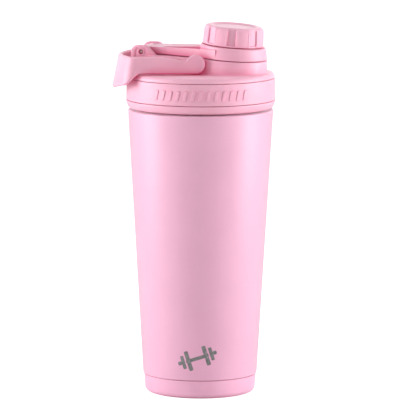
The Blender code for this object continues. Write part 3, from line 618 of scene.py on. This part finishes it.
def cap_frame():
    """Frame of the spout and cap: origin at the cap's lower rim, Z up its axis."""
    return Matrix.Translation(CAP_SEAT) @ Matrix.Rotation(math.radians(AXIS_LEAN), 4, "Y")


def on_axis(h):
    """Point on the cap's axis, h above the cap's lower rim."""
    return CAP_SEAT + CAP_AXIS * h


def tangent_outline(end_x, end_half, centre_x, radius, steps):
    """Teardrop in plan, anticlockwise: a straight end at end_x and a circle that its sides touch."""
    reach = Vector((centre_x - end_x, -end_half))
    direction = math.atan2(reach.y, reach.x) + math.asin(radius / reach.length)
    touch = math.degrees(direction) + 90.0
    side_steps, end_steps = 12, 8
    first = arc(centre_x, 0.0, radius, -touch, touch, steps)
    top, end = Vector(first[-1]), Vector((end_x, end_half))
    up = [tuple(top.lerp(end, i / side_steps)) for i in range(1, side_steps)]
    back = [(end_x, end_half * (1 - 2 * i / end_steps)) for i in range(end_steps + 1)]
    down = [(a, -b) for a, b in reversed(up)]
    return first + up + back + down


# --- steel bottle --------------------------------------------------------------------------------

def thread_rib(centre_r, low_z, start_angle):
    """A helical rib whose round section tapers away at both ends."""
    steps, sides = 90, 12
    rings = []
    for i in range(steps + 1):
        share = i / steps
        turn = THREAD_TURN * share
        angle = start_angle + 2 * math.pi * turn
        radius = THREAD_RIB_R * (0.15 + 0.85 * min(1.0, min(share, 1 - share) * 14.0) ** 0.5)
        centre_z = low_z + THREAD_LEAD * turn
        ring = []
        for k in range(sides):
            around = 2 * math.pi * k / sides
            reach = centre_r + radius * math.cos(around)
            z = centre_z + radius * math.sin(around)
            ring.append((reach * math.cos(angle), reach * math.sin(angle), z))
        rings.append(ring)
    return skinned("rib", rings)


def add_thread(target, centre_r, low_z):
    """Two-start thread fused to a wall."""
    for start in range(2):
        fuse(target, thread_rib(centre_r, low_z, math.pi * start + 0.3))


def make_outer_shell():
    """Tapered coated wall with its threaded neck and the stepped-in foot."""
    wall = SHELL_WALL
    profile = rounded([
        (NECK_R, NECK_TOP_Z, 0.2), (NECK_R, BODY_TOP_Z, 0.8), (BODY_TOP_R, BODY_TOP_Z, 0.9),
        (BODY_LOW_R, BODY_LOW_Z, 0.5), (FOOT_R, BODY_LOW_Z - 1.0, 0.3), (FOOT_R, FOOT_LOW_Z, 0.2),
        (FOOT_R - wall, FOOT_LOW_Z), (FOOT_R - wall, BODY_LOW_Z - 0.6),
        (BODY_LOW_R - wall, BODY_LOW_Z + 0.8), (BODY_TOP_R - wall, BODY_TOP_Z - 1.4),
        (NECK_R - wall, BODY_TOP_Z - 0.7), (NECK_R - wall, NECK_TOP_Z)])
    shell = turned("powder_coated_shell", profile, 192)
    add_thread(shell, NECK_R + 0.4, NECK_THREAD_Z)
    finish(shell, "bottle", "powder_coat", COAT, "outer_shell")


def make_inner_liner():
    """Steel cup inside the vacuum gap, rolled over the neck at the mouth."""
    wall, floor_z, corner, shoulder_z = LINER_WALL, LINER_FLOOR_Z, LINER_CORNER, LINER_SHOULDER_Z
    neck_out = NECK_R - SHELL_WALL - GAP
    low_r = liner_radius(floor_z + corner)
    profile = rounded([
        (0.0, floor_z + wall), (low_r - wall, floor_z + wall, corner - wall),
        (liner_radius(shoulder_z) - wall, shoulder_z, 6.0), (neck_out - wall, BODY_TOP_Z - 1.8, 6.0),
        (neck_out - wall, RIM_TOP_Z, 0.4), (NECK_R + 0.3, RIM_TOP_Z, 0.3),
        (NECK_R + 0.3, NECK_TOP_Z + GAP, 0.2), (neck_out, NECK_TOP_Z + GAP),
        (neck_out, BODY_TOP_Z - 1.8, 6.0), (liner_radius(shoulder_z), shoulder_z, 6.0),
        (low_r, floor_z, corner), (0.0, floor_z)],
        steps=8, closed=False)
    liner = turned("polished_liner", profile, 128, closed=False)
    finish(liner, "bottle", "bare_steel", STEEL, "inner_liner")


def make_base_cap():
    """Foot moulding with its soft lower edge and the groove round its resting face."""
    wall_r = FOOT_R + GAP
    profile = rounded([
        (0.0, BASE_FLOOR_Z), (wall_r, BASE_FLOOR_Z), (wall_r, BASE_HIGH.z - 1.6),
        (BASE_HIGH.x - 1.2, BASE_HIGH.z - 0.1, 0.2), (BASE_HIGH.x, BASE_HIGH.z, 0.25),
        (BASE_LOW_R + 0.15, BASE_ROUND + 0.4, 0.2), (BASE_LOW_R, 0.0, BASE_ROUND),
        (GROOVE_OUT_R, 0.0, 0.2), (GROOVE_OUT_R - 0.4, GROOVE_DEPTH, 0.2),
        (GROOVE_IN_R + 0.4, GROOVE_DEPTH, 0.2), (GROOVE_IN_R, 0.0, 0.2), (0.0, 0.0)],
        steps=7, closed=False)
    base = turned("moulded_base", profile, 160, closed=False)
    finish(base, "bottle", "base_plastic", BASE_PLASTIC, "base_cap")


def make_front_mark():
    """Generic dumbbell pictogram etched on the lower front: a bar, four plates and two ends, set aslant."""
    plates = [(0.0, 15.0, 2.2), (5.9, 2.6, 13.0), (-5.9, 2.6, 13.0), (9.4, 2.2, 8.6), (-9.4, 2.2, 8.6),
              (11.7, 2.6, 2.4), (-11.7, 2.6, 2.4)]
    form = bmesh.new()
    for middle, width, height in plates:
        corner = min(width, height) * 0.28
        shape = rectangle(middle - width / 2, middle + width / 2, -height / 2, height / 2, corner)
        mark_plate(form, shape, max(2, int(width / 0.9)))
    bmesh.ops.recalc_face_normals(form, faces=form.faces)
    finish(added("etched_dumbbell", form), "bottle", "bare_steel", ETCHED)


def mark_plate(form, shape, columns):
    """One plate of the mark: a thin closed tile bent to the body's cone."""
    slant = math.radians(MARK_SLANT)
    flat = bmesh.new()
    flat.faces.new([flat.verts.new((a, b, 0.0)) for a, b in shape])
    low, high = min(a for a, b in shape), max(a for a, b in shape)
    for i in range(1, columns):
        column = (low + (high - low) * i / columns, 0, 0)
        everything = flat.verts[:] + flat.edges[:] + flat.faces[:]
        bmesh.ops.bisect_plane(flat, geom=everything, plane_co=column, plane_no=(1, 0, 0))
    raised = bmesh.ops.extrude_face_region(flat, geom=flat.faces[:])
    top = {v for v in raised["geom"] if isinstance(v, bmesh.types.BMVert)}
    copies = {}
    for vertex in flat.verts:
        along = vertex.co.x * math.cos(slant) - vertex.co.y * math.sin(slant)
        z = MARK_Z + vertex.co.x * math.sin(slant) + vertex.co.y * math.cos(slant)
        radius = body_radius(z) + (MARK_PROUD if vertex in top else -0.15)
        angle = math.radians(MARK_ANGLE) + along / body_radius(z)
        bent = Vector((radius * math.cos(angle), radius * math.sin(angle), z))
        copies[vertex] = form.verts.new(bent * MM)
    for face in flat.faces:
        form.faces.new([copies[vertex] for vertex in face.verts])
    flat.free()


# --- lid -----------------------------------------------------------------------------------------

def make_lid_gasket():
    """Silicone ring between the lid and the steel rim."""
    low_z, bevel_z = RIM_TOP_Z + GAP, RIM_TOP_Z + 1.0
    profile = rounded([
        (GASKET_OUT_R, GASKET_TOP_Z, 0.2), (GASKET_OUT_R, bevel_z, 0.3), (GASKET_OUT_R - 1.0, low_z, 0.3),
        (GASKET_IN_R + 0.8, low_z, 0.3), (GASKET_IN_R, bevel_z, 0.3), (GASKET_IN_R, GASKET_TOP_Z, 0.2)])
    gasket = turned("silicone_gasket", profile, 144)
    finish(gasket, "lid_seal", "seal_silicone", SILICONE, "lid_gasket")


def make_lid_skirt():
    """Threaded inner moulding with the soft lower ring."""
    profile = rounded([
        (SKIRT_OUT_R, BAND_TOP_Z - 0.5, 0.2), (SKIRT_OUT_R, BAND_LOW_Z - GAP),
        (RING_WIDE_R - 0.15, BAND_LOW_Z - GAP, 0.25),
        (RING_WIDE_R, LID_LOW_Z + 4.2, 1.0), (RING_WIDE_R - 0.4, LID_LOW_Z + 2.7, 2.0),
        (RING_WIDE_R - 1.2, LID_LOW_Z + 0.9, 1.0), (RING_WIDE_R - 1.9, LID_LOW_Z, 0.3),
        (SKIRT_IN_R, LID_LOW_Z, 0.6), (SKIRT_IN_R, BAND_TOP_Z - 0.5, 0.2)], steps=6)
    skirt = turned("lid_inner_moulding", profile, 192)
    add_thread(skirt, SKIRT_IN_R - 0.45, NECK_THREAD_Z - LID_THREAD_DROP)
    finish(skirt, "lid", "lid_plastic", LID_PLASTIC, "lid_skirt")


def make_grip_band():
    """Band with soft edges and a row of slanted raised ribs on the front."""
    profile = rounded([
        (BAND_TOP_R, BAND_TOP_Z, 0.3), (SKIRT_OUT_R + GAP, BAND_TOP_Z), (SKIRT_OUT_R + GAP, BAND_LOW_Z),
        (BAND_LOW_R, BAND_LOW_Z, 0.35)])
    band = turned("ribbed_band", profile, 192)
    tilt = math.tan(math.radians(RIB_SLANT))
    middle_z = (RIB_LOW_Z + RIB_TOP_Z) / 2
    for i in range(RIB_COUNT):
        angle = FRONT_ANGLE + RIB_PITCH * (i - (RIB_COUNT - 1) / 2)
        spin = Matrix.Rotation(math.radians(angle), 4, "Z")
        corners = [(side * RIB_WIDTH / 2 + (z - middle_z) * tilt, z, 0.5)
                   for side, z in ((-1, RIB_LOW_Z), (1, RIB_LOW_Z), (1, RIB_TOP_Z), (-1, RIB_TOP_Z))]
        rib = slab("rib", rounded(corners, 3), BAND_LOW_R - 1.2, BAND_LOW_R + RIB_RELIEF - 0.08,
                   lambda a, b, h: spin @ Vector((h, a, b)), low_edge=0.05, high_edge=0.25, steps=3)
        fuse(band, rib)
    finish(band, "lid", "lid_plastic", LID_PLASTIC, "grip_band")


def ear_outline():
    """Side view of a hinge ear, anticlockwise in XZ."""
    rear, front, low = EAR_REAR_X, HINGE.x + 10.4, DECK_TOP_Z - 1.0
    top = HINGE.z + 4.2
    crown = arc(HINGE.x - 2.3, top - 4.5, 4.5, 90.0, 180.0, 10)
    brow = arc(HINGE.x + 2.6, top - 3.6, 3.6, 30.0, 90.0, 8)
    return [(rear, low), (front, low), (front, platform_top(front) - 0.2)] + brow + crown


def make_platform():
    """Raised platform: concave foot on the deck, upright wall and softened top edge."""
    outline = tangent_outline(EAR_REAR_X + 2.0, EAR_OUT_Y - 0.4, RING_X, RING_R, 96)
    foot, edge = 1.2, 0.5
    levels = [(-foot, DECK_TOP_Z - 1.0)]
    levels += [(-foot * sine, DECK_TOP_Z - 0.02 + foot * cosine) for sine, cosine in bends(4)]
    rings = [[(a, b, z) for a, b in inset(outline, distance)] for distance, z in levels]
    for sine, cosine in bends(4):
        rings.append([(a, b, platform_top(a) - edge * sine) for a, b in inset(outline, edge * cosine)])
    rings.append([(a, b, platform_top(a)) for a, b in inset(outline, 7.0)])
    return skinned("platform", rings)


def make_lid_deck():
    """Domed deck with platform, ears, trunnions and spout fused into one moulding."""
    under_z = DECK_LOW_Z - 0.7
    profile = rounded([
        (0.0, DECK_TOP_Z), (DECK_R, DECK_TOP_Z, DECK_ROUND), (DECK_R, DECK_LOW_Z, 0.15),
        (SKIRT_IN_R - GAP, DECK_LOW_Z), (SKIRT_IN_R - GAP, under_z), (SOCKET_OUT_R, under_z, 0.5),
        (SOCKET_OUT_R, SOCKET_LOW_Z, 0.4), (SOCKET_IN_R, SOCKET_LOW_Z, 0.4), (SOCKET_IN_R, under_z, 0.5),
        (0.0, under_z)], steps=8, closed=False)
    deck = turned("lid_top_moulding", profile, 160, closed=False)
    fuse(deck, make_platform())
    for sign in (1, -1):
        low, high = sorted((sign * EAR_IN_Y, sign * EAR_OUT_Y))
        fuse(deck, slab("ear", ear_outline(), -high, -low, sideways, low_edge=0.7, high_edge=0.7))
        recess_ear(deck, sign)
        fuse(deck, cross_rod("pad", TRUNNION_PAD_R, PIVOT, sign * 16.0, sign * (BOSS_IN_Y - GAP)))
        fuse(deck, cross_rod("stub", TRUNNION_R, PIVOT, sign * 18.0, sign * (BOSS_OUT_Y - 1.2), edge=0.3))
    add_spout(deck)
    cut(deck, arm_slot())
    cut(deck, rod("bore", SPOUT_IN_R, on_axis(-30.0), on_axis(12.0), 96))
    cut(deck, cross_rod("pin_bore", PIN_BORE_R, HINGE, -20.0, 20.0))
    finish(deck, "lid", "lid_plastic", LID_PLASTIC, "lid_deck", sharp=32.0)


def recess_ear(deck, sign):
    """Shallow D-shaped recess on an ear's outer face, with a raised ring round the pin's counterbore."""
    rear, top, face = HINGE.x - 4.2, HINGE.z + 2.5, EAR_OUT_Y
    shape = rounded([(rear, RECESS_LOW_Z, 0.9), (HINGE.x + 6.0, RECESS_LOW_Z, 0.9),
                     (HINGE.x + 3.4, top, 2.3), (rear, top, 2.6)], 8)
    low, high = sorted((sign * (face - 0.3), sign * (face + 2.0)))
    cut(deck, slab("recess", shape, -high, -low, sideways, 0.28, 0.28, 3))
    fuse(deck, cross_rod("collar", 2.6, HINGE, sign * (face - 1.5), sign * (face - 0.1), edge=0.25))
    cut(deck, cross_rod("sink", 1.6, HINGE, sign * (face - 1.2), sign * (face + 2)))


def add_spout(deck):
    """Drinking spout on the cap's axis, with two lugs that the cap locks under."""
    out_r, low_h, top_h = SPOUT_OUT_R, -14.0, SPOUT_TOP_H
    profile = rounded([(0.0, low_h), (out_r, low_h), (out_r, top_h, 0.9), (0.0, top_h)], closed=False)
    fuse(deck, turned("tube", profile, 96, closed=False, frame_matrix=cap_frame()))
    for turn in (90.0, -90.0):
        fuse(deck, lug("spout_lug", out_r - 0.8, out_r + 1.9, 2.6, 3.8, turn))


def arm_slot():
    """The room between the ears for the arm's barrel."""
    rear, front = -46.0, HINGE.x + 4.8
    outline = rounded([(rear, SLOT_LOW_Z), (front - 2.0, SLOT_LOW_Z, 1.0), (front, SLOT_LOW_Z + 2.0, 1.0),
                       (front, SLOT_TOP_Z), (rear, SLOT_TOP_Z)])
    return slab("slot", outline, -EAR_IN_Y, EAR_IN_Y, sideways, low_edge=0.01, high_edge=0.01)


def lug(name, inner_r, outer_r, low, high, middle):
    """Locking lug: part of a ring on the cap's axis, with softened edges."""
    outside = arc(0.0, 0.0, outer_r, middle - LUG_WIDTH / 2, middle + LUG_WIDTH / 2, 16)
    inside = arc(0.0, 0.0, inner_r, middle + LUG_WIDTH / 2, middle - LUG_WIDTH / 2, 16)
    place = cap_frame()
    return slab(name, outside + inside, low, high, lambda a, b, h: place @ Vector((a, b, h)),
                low_edge=0.15, high_edge=0.15, steps=2)


def make_hinge_pin():
    """Steel pin whose ends lie just inside the ears' faces."""
    end = EAR_OUT_Y - 0.8
    pin = cross_rod("steel_hinge_pin", PIN_R, HINGE, -end, end, 40, edge=0.25)
    finish(pin, "lid", "bare_steel", PIN_STEEL, "hinge_pin")


def make_flip_arm():
    """Arm: barrel round the pin, tapered plate with a sunk panel, and the collar under the cap."""
    arm = slab("cap_arm", arm_plan(), lambda x, y: platform_top(x) + ARM_GAP, arm_top, upright,
               low_edge=0.3, high_edge=0.45, draft=-ARM_UNDERCUT, crown=(0.6, 1.4, 2.4, 3.6, 5.0, 6.6, 8.2))
    fuse(arm, cross_rod("barrel", BARREL_R, HINGE, -ARM_HALF_WIDTH, ARM_HALF_WIDTH, 72, edge=0.5))
    outline = arc(RING_X, 0.0, RING_R, 0.0, 360.0, 144)[:-1]
    collar = slab("collar", outline, lambda x, y: platform_top(x) + ARM_GAP, ring_plane, upright,
                  low_edge=0.2, high_edge=0.9, draft=0.65)
    fuse(arm, collar)
    cut(arm, rod("hole", RING_HOLE_R, on_axis(-20.0), on_axis(10.0), 96))
    cut(arm, rod("sink", RING_HOLE_R + 1.5, on_axis(-20.0), on_axis(FLANGE_TOP_H + GAP), 96))
    wedge = [(PANEL_REAR_X, -PANEL_REAR_HALF, 0.3), (PANEL_FRONT_X, -PANEL_FRONT_HALF, 0.8),
             (PANEL_FRONT_X, PANEL_FRONT_HALF, 0.8), (PANEL_REAR_X, PANEL_REAR_HALF, 0.3)]
    floor_z = arm_top(PANEL_DEPTH_X) - PANEL_DEPTH
    cut(arm, slab("panel", rounded(wedge, 4), floor_z, 232.0, upright, 0.4, 0.01))
    cut(arm, cross_rod("pin_hole", PIN_BORE_R, HINGE, -20.0, 20.0))
    finish(arm, "arm", "lid_plastic", LID_PLASTIC, "flip_arm", sharp=32.0)


def arm_plan():
    """Foot outline of the arm's plate, anticlockwise, with its front inside the collar."""
    rear = HINGE.x + ARM_UNDERCUT
    steps = 30
    stations = [rear + 0.1]
    stations += [ARM_FLARE_X + (ARM_FRONT_X - ARM_FLARE_X) * i / steps for i in range(steps + 1)]
    right = [(x, ARM_UNDERCUT - arm_half_width(x)) for x in stations]
    front_half = arm_half_width(ARM_FRONT_X) - ARM_UNDERCUT
    front = [(ARM_FRONT_X, front_half * (i / 6 - 1)) for i in range(1, 12)]
    left = [(x, -y) for x, y in reversed(right)]
    return right + front + left + [(rear, 0.0)]


def ring_plane(x, y=0.0):
    """Height of the collar's leaning top plane."""
    return on_axis(RING_TOP_H).z - (x - CAP_SEAT.x) * math.tan(math.radians(AXIS_LEAN))


# --- cap -----------------------------------------------------------------------------------------

def grip_depth(h, angle, radius):
    """Share of a grip pocket's depth at a point of the cap's flank, and the soft border raised round it."""
    pitch = 360.0 / GRIP_COUNT
    offset = (math.degrees(angle) - GRIP_ANGLE + pitch / 2) % pitch - pitch / 2
    across = abs(math.radians(offset) * radius)
    up = abs(h - GRIP_LOW - GRIP_HEIGHT / 2)
    corner = 0.7
    beyond_a = across - GRIP_WIDTH / 2 + corner
    beyond_b = up - GRIP_HEIGHT / 2 + corner
    outside = math.hypot(max(beyond_a, 0.0), max(beyond_b, 0.0))
    distance = outside + min(max(beyond_a, beyond_b), 0.0) - corner
    sunk = 1.0 - smooth_step(distance, -0.4, 0.15)
    border = 0.22 * math.exp(-((distance - 0.55) / 0.5) ** 2)
    return sunk, border


def cap_profile():
    """Outer half section of the cap, from the middle of its dished top to the lower rim."""
    top_r = CAP_LOW_R - CAP_HEIGHT * math.tan(math.radians(CAP_DRAFT))
    corners = [(0.0, CAP_HEIGHT - 1.0), (12.4, CAP_HEIGHT - 0.95, 1.5), (14.2, CAP_HEIGHT, 1.0),
               (top_r, CAP_HEIGHT - 0.05, CAP_CORNER), (CAP_LOW_R, 0.0, 0.45), (17.0, 0.0, 0.3)]
    coarse = rounded(corners, 10, closed=False)
    fine = [coarse[0]]
    for point in coarse[1:]:
        gap = (Vector(point) - Vector(fine[-1])).length
        pieces = max(1, int(gap / (0.3 if point[0] > 14.0 else 2.0)))
        last = Vector(fine[-1])
        fine += [tuple(last.lerp(Vector(point), i / pieces)) for i in range(1, pieces + 1)]
    return fine


def make_cap_knob():
    """Twist cap: dished top, rounded shoulder and sunk grip pockets, hollow underneath."""
    draft = math.tan(math.radians(CAP_DRAFT))
    steps = 640
    place = cap_frame()
    rings = []
    for radius, h in cap_profile():
        floor_r = CAP_LOW_R - h * draft - GRIP_DEPTH
        ring = []
        for i, point in enumerate(circle(radius, h, steps)):
            angle = 2 * math.pi * i / steps
            reach = radius
            if radius > 13.0 and h > 0.05:
                sunk, border = grip_depth(h, angle, CAP_LOW_R)
                reach -= sunk * max(0.0, radius - floor_r)
                reach += border if radius > 15.5 else 0.0
                reach = min(reach, CAP_LOW_R)
                point = Vector((reach * math.cos(angle), reach * math.sin(angle), h))
            ring.append(place @ point)
        rings.append(ring)
    in_r, roof = RING_HOLE_R, CAP_ROOF_H
    for radius, h in ((in_r, 0.4), (in_r, roof - 0.3), (in_r - 0.4, roof), (0.0, roof)):
        rings.append([place @ point for point in circle(radius, h, steps)])
    knob = skinned("twist_cap", rings)
    finish(knob, "cap", "lid_plastic", LID_PLASTIC, "cap_knob", sharp=50.0)


def make_cap_insert():
    """Inner cup of the cap: it carries the seal, snaps through the arm's ring and has two locking lugs."""
    out_r, plate_top = RING_HOLE_R - 0.4, CAP_ROOF_H - GAP
    profile = rounded([
        (0.0, plate_top), (out_r, plate_top, 0.4), (out_r, FLANGE_TOP_H), (out_r + 1.2, FLANGE_TOP_H, 0.3),
        (out_r + 1.2, FLANGE_LOW_H, 0.4), (CUP_IN_R, FLANGE_LOW_H, 0.4), (CUP_IN_R, CUP_PLATE_H, 0.5),
        (0.0, CUP_PLATE_H)], closed=False)
    insert = turned("cap_inner_cup", profile, 128, closed=False, frame_matrix=cap_frame())
    for turn in (0.0, 180.0):
        fuse(insert, lug("insert_lug", CUP_IN_R - 1.2, CUP_IN_R + 0.6, 1.0, 2.2, turn))
    finish(insert, "cap", "lid_plastic", LID_PLASTIC, "cap_insert")


def make_cap_seal():
    """Silicone disc that closes the spout, with a plug that enters its bore."""
    rim_h, plug_h = SPOUT_TOP_H + GAP, SPOUT_TOP_H - 0.4
    profile = rounded([
        (0.0, SEAL_TOP_H), (SEAL_R, SEAL_TOP_H, 0.4), (SEAL_R, rim_h, 0.4), (9.6, rim_h, 0.2),
        (8.8, plug_h, 0.3), (0.0, plug_h)], closed=False)
    seal = turned("silicone_seal", profile, 128, closed=False, frame_matrix=cap_frame())
    finish(seal, "cap", "seal_silicone", SILICONE, "cap_seal")


# --- carry handle --------------------------------------------------------------------------------

def handle_path():
    """Half of the handle's middle line, from before the right pivot to the rear.

    Points are (x, y, distance along from the pivot, round share); the share goes from 0 on the
    straight arm to 1 on the apron.
    """
    flare = math.radians(HANDLE_FLARE)
    start = Vector((PIVOT.x, -(BOSS_IN_Y + BOSS_OUT_Y) / 2))
    along = Vector((-math.cos(flare), -math.sin(flare)))
    inward = Vector((-math.sin(flare), math.cos(flare)))
    base = start + inward * APRON_CORNER
    half = base.dot(along)
    run = -half + math.sqrt(half * half - base.length_squared + (APRON_R - APRON_CORNER) ** 2)
    centre = base + along * run
    boss_steps, arm_steps, corner_steps, apron_steps = 14, 96, 32, 48
    skip = 0.4    # the first point stays clear of the boss's very edge
    distances = [-BOSS_R * math.cos(math.radians(90.0 * (i + skip) / (boss_steps + skip)))
                 for i in range(boss_steps)]
    distances += [run * i / arm_steps for i in range(arm_steps + 1)]
    points = [(*(start + along * distance), distance, 0.0) for distance in distances]
    from_angle = math.degrees(math.atan2(-inward.y, -inward.x))
    to_angle = math.degrees(math.atan2(centre.y, centre.x))
    corner = arc(centre.x, centre.y, APRON_CORNER, from_angle, to_angle, corner_steps)
    points += [(x, y, run, i / corner_steps) for i, (x, y) in enumerate(corner) if i > 0]
    points += [(x, y, run, 1.0) for x, y in arc(0.0, 0.0, APRON_R, to_angle, -180.0, apron_steps)[1:]]
    return points


def handle_section(x, y, distance, share):
    """Lower edge, upper edge, outward lean and thickness of the strap at a point of its path."""
    top = HANDLE_TOP_Z - HANDLE_DROP * smooth_step(x, -22.0, PIVOT.x)
    apron = APRON_LOW_Z + APRON_RISE * y * y
    low = HANDLE_LOW_Z + (apron - HANDLE_LOW_Z) * smooth_step(share, 0.0, 0.8)
    lean = math.tan(math.radians(APRON_LEAN)) * smooth_step(share, 0.0, 0.5)
    thick = HANDLE_THICK
    if distance < BOSS_R:
        half = math.sqrt(max(0.0, BOSS_R ** 2 - distance ** 2))
        low = PIVOT.z - half if distance <= 0.0 else min(low, PIVOT.z - BOSS_R + 0.05)
        top = PIVOT.z + half if distance <= 0.0 else max(top, PIVOT.z + half)
        rim = 1.1
        if -distance > BOSS_R - rim:
            slip = (BOSS_R + distance) / rim
            thick = HANDLE_THICK - 2 * rim * (1 - math.sqrt(max(0.0, 1 - (1 - slip) ** 2)))
    if 0.0 < distance < 2 * BOSS_R:
        top = max(top, fillet_top(distance))
    return low, top, lean, thick


def fillet_top(distance):
    """Height of the hollow fillet between the boss and the strap's top edge, or 0 outside it."""
    shoulder = HANDLE_TOP_Z - HANDLE_DROP + 0.25 + BOSS_FILLET - PIVOT.z
    reach = BOSS_R + BOSS_FILLET
    centre = math.sqrt(reach ** 2 - shoulder ** 2)
    if not centre * BOSS_R / reach <= distance <= centre:
        return 0.0
    return PIVOT.z + shoulder - math.sqrt(BOSS_FILLET ** 2 - (distance - centre) ** 2)


def strap_ring(x, y, outward, low, top, lean, thick):
    """Cross section of the strap: a tall rounded rectangle."""
    half = (top - low) / 2
    corner = max(0.02, min(1.15, half * 0.95, thick / 2 - 0.02))
    ring = []
    for across, z in rectangle(-thick / 2, thick / 2, low, top, corner):
        push = across + lean * (HANDLE_TOP_Z - z)
        ring.append((x + outward.x * push, y + outward.y * push, z))
    return ring


def make_carry_handle():
    """Carry handle: a strap with a tall apron at the back, whose ends are round bosses."""
    half = handle_path()
    path = half + [(x, -y, distance, share) for x, y, distance, share in reversed(half[:-1])]
    rings = []
    for i, (x, y, distance, share) in enumerate(path):
        before, after = path[max(i - 1, 0)], path[min(i + 1, len(path) - 1)]
        along = Vector((after[0] - before[0], after[1] - before[1])).normalized()
        outward = Vector((-along.y, along.x))
        low, top, lean, thick = handle_section(x, y, distance, share)
        rings.append(strap_ring(x, y, outward, low, top, lean, thick))
    handle = skinned("carry_strap", rings)
    for sign in (1, -1):
        cut(handle, cross_rod("bore", TRUNNION_BORE_R, PIVOT, sign * 18.0, sign * (BOSS_OUT_Y - 0.9)))
    finish(handle, "handle", "lid_plastic", LID_PLASTIC, "carry_handle", sharp=45.0)


# --- mixing grid ---------------------------------------------------------------------------------

def make_agitator():
    """Clip-in grid: ring, open hub and hanging fins with softened edges."""
    out_r = SOCKET_IN_R - GAP
    grid = turned("mixing_grid", rectangle(out_r - GRID_WALL, out_r, GRID_LOW_Z, GRID_TOP_Z, 0.5), 128)
    in_r, end_r, spoke_z = HUB_OUT_R - 0.6, out_r - 1.6, HUB_LOW_Z + 1.0
    fin = rounded([(in_r, spoke_z), (19.5, spoke_z, 1.5), (22.5, FIN_LOW_Z, 1.5), (27.0, FIN_LOW_Z, 1.5),
                   (end_r, GRID_LOW_Z, 1.0), (end_r, HUB_TOP_Z), (in_r, HUB_TOP_Z)])
    for i in range(FIN_COUNT):
        spin = Matrix.Rotation(math.radians(30.0 + 360.0 / FIN_COUNT * i), 4, "Z")
        spoke = slab("fin", fin, -FIN_THICK / 2, FIN_THICK / 2, lambda a, b, h: spin @ sideways(a, b, h),
                     low_edge=0.4, high_edge=0.4, steps=3)
        fuse(grid, spoke)
    fuse(grid, turned("hub", rectangle(HUB_IN_R, HUB_OUT_R, HUB_LOW_Z, HUB_TOP_Z, 0.4), 72))
    finish(grid, "agitator", "grid_plastic", BASE_PLASTIC, "mixing_agitator")


def paint_hidden_nodes():
    """The CAD solids inside the vacuum gap stay, in steel."""
    for name in ("outer_bottom", "vacuum_seal_plug", "vacuum_getter"):
        for slot in frame["nodes"][name].material_slots:
            slot.material = STEEL


make_camera()
make_world()
make_floor()
softbox("left_softbox", -84.0, 4.0, distance=1.3, width=0.7, height=1.3, power=22.5)
softbox("right_softbox", 84.0, 4.0, distance=1.3, width=0.7, height=1.3, power=22.5)
softbox("front_softbox", 0.0, 30.0, distance=1.6, width=1.0, height=0.8, power=1.5)
bpy.context.scene.view_settings.view_transform = "Standard"

LID_PLASTIC = plastic("lid_plastic_pink", LID_PINK, roughness=0.42, grain=0.30, relief=0.012, hollow=6.0)
BASE_PLASTIC = plastic("base_plastic_pink", BASE_PINK, roughness=0.46, grain=0.30, relief=0.012, hollow=1.0)
COAT = powder_coat("powder_coat_pink", COAT_PINK)
STEEL = steel("turned_steel", (0.70, 0.69, 0.68), roughness=0.36, streak=0.22)
PIN_STEEL = steel("pin_steel", (0.70, 0.66, 0.60), roughness=0.22, streak=0.15)
SILICONE = silicone("seal_silicone", (0.86, 0.84, 0.83))
ETCHED = etched_steel("etched_steel")

make_outer_shell()
make_inner_liner()
make_base_cap()
make_front_mark()
make_lid_gasket()
make_lid_skirt()
make_grip_band()
make_lid_deck()
make_hinge_pin()
make_flip_arm()
make_cap_knob()
make_cap_insert()
make_cap_seal()
make_carry_handle()
make_agitator()
paint_hidden_nodes()
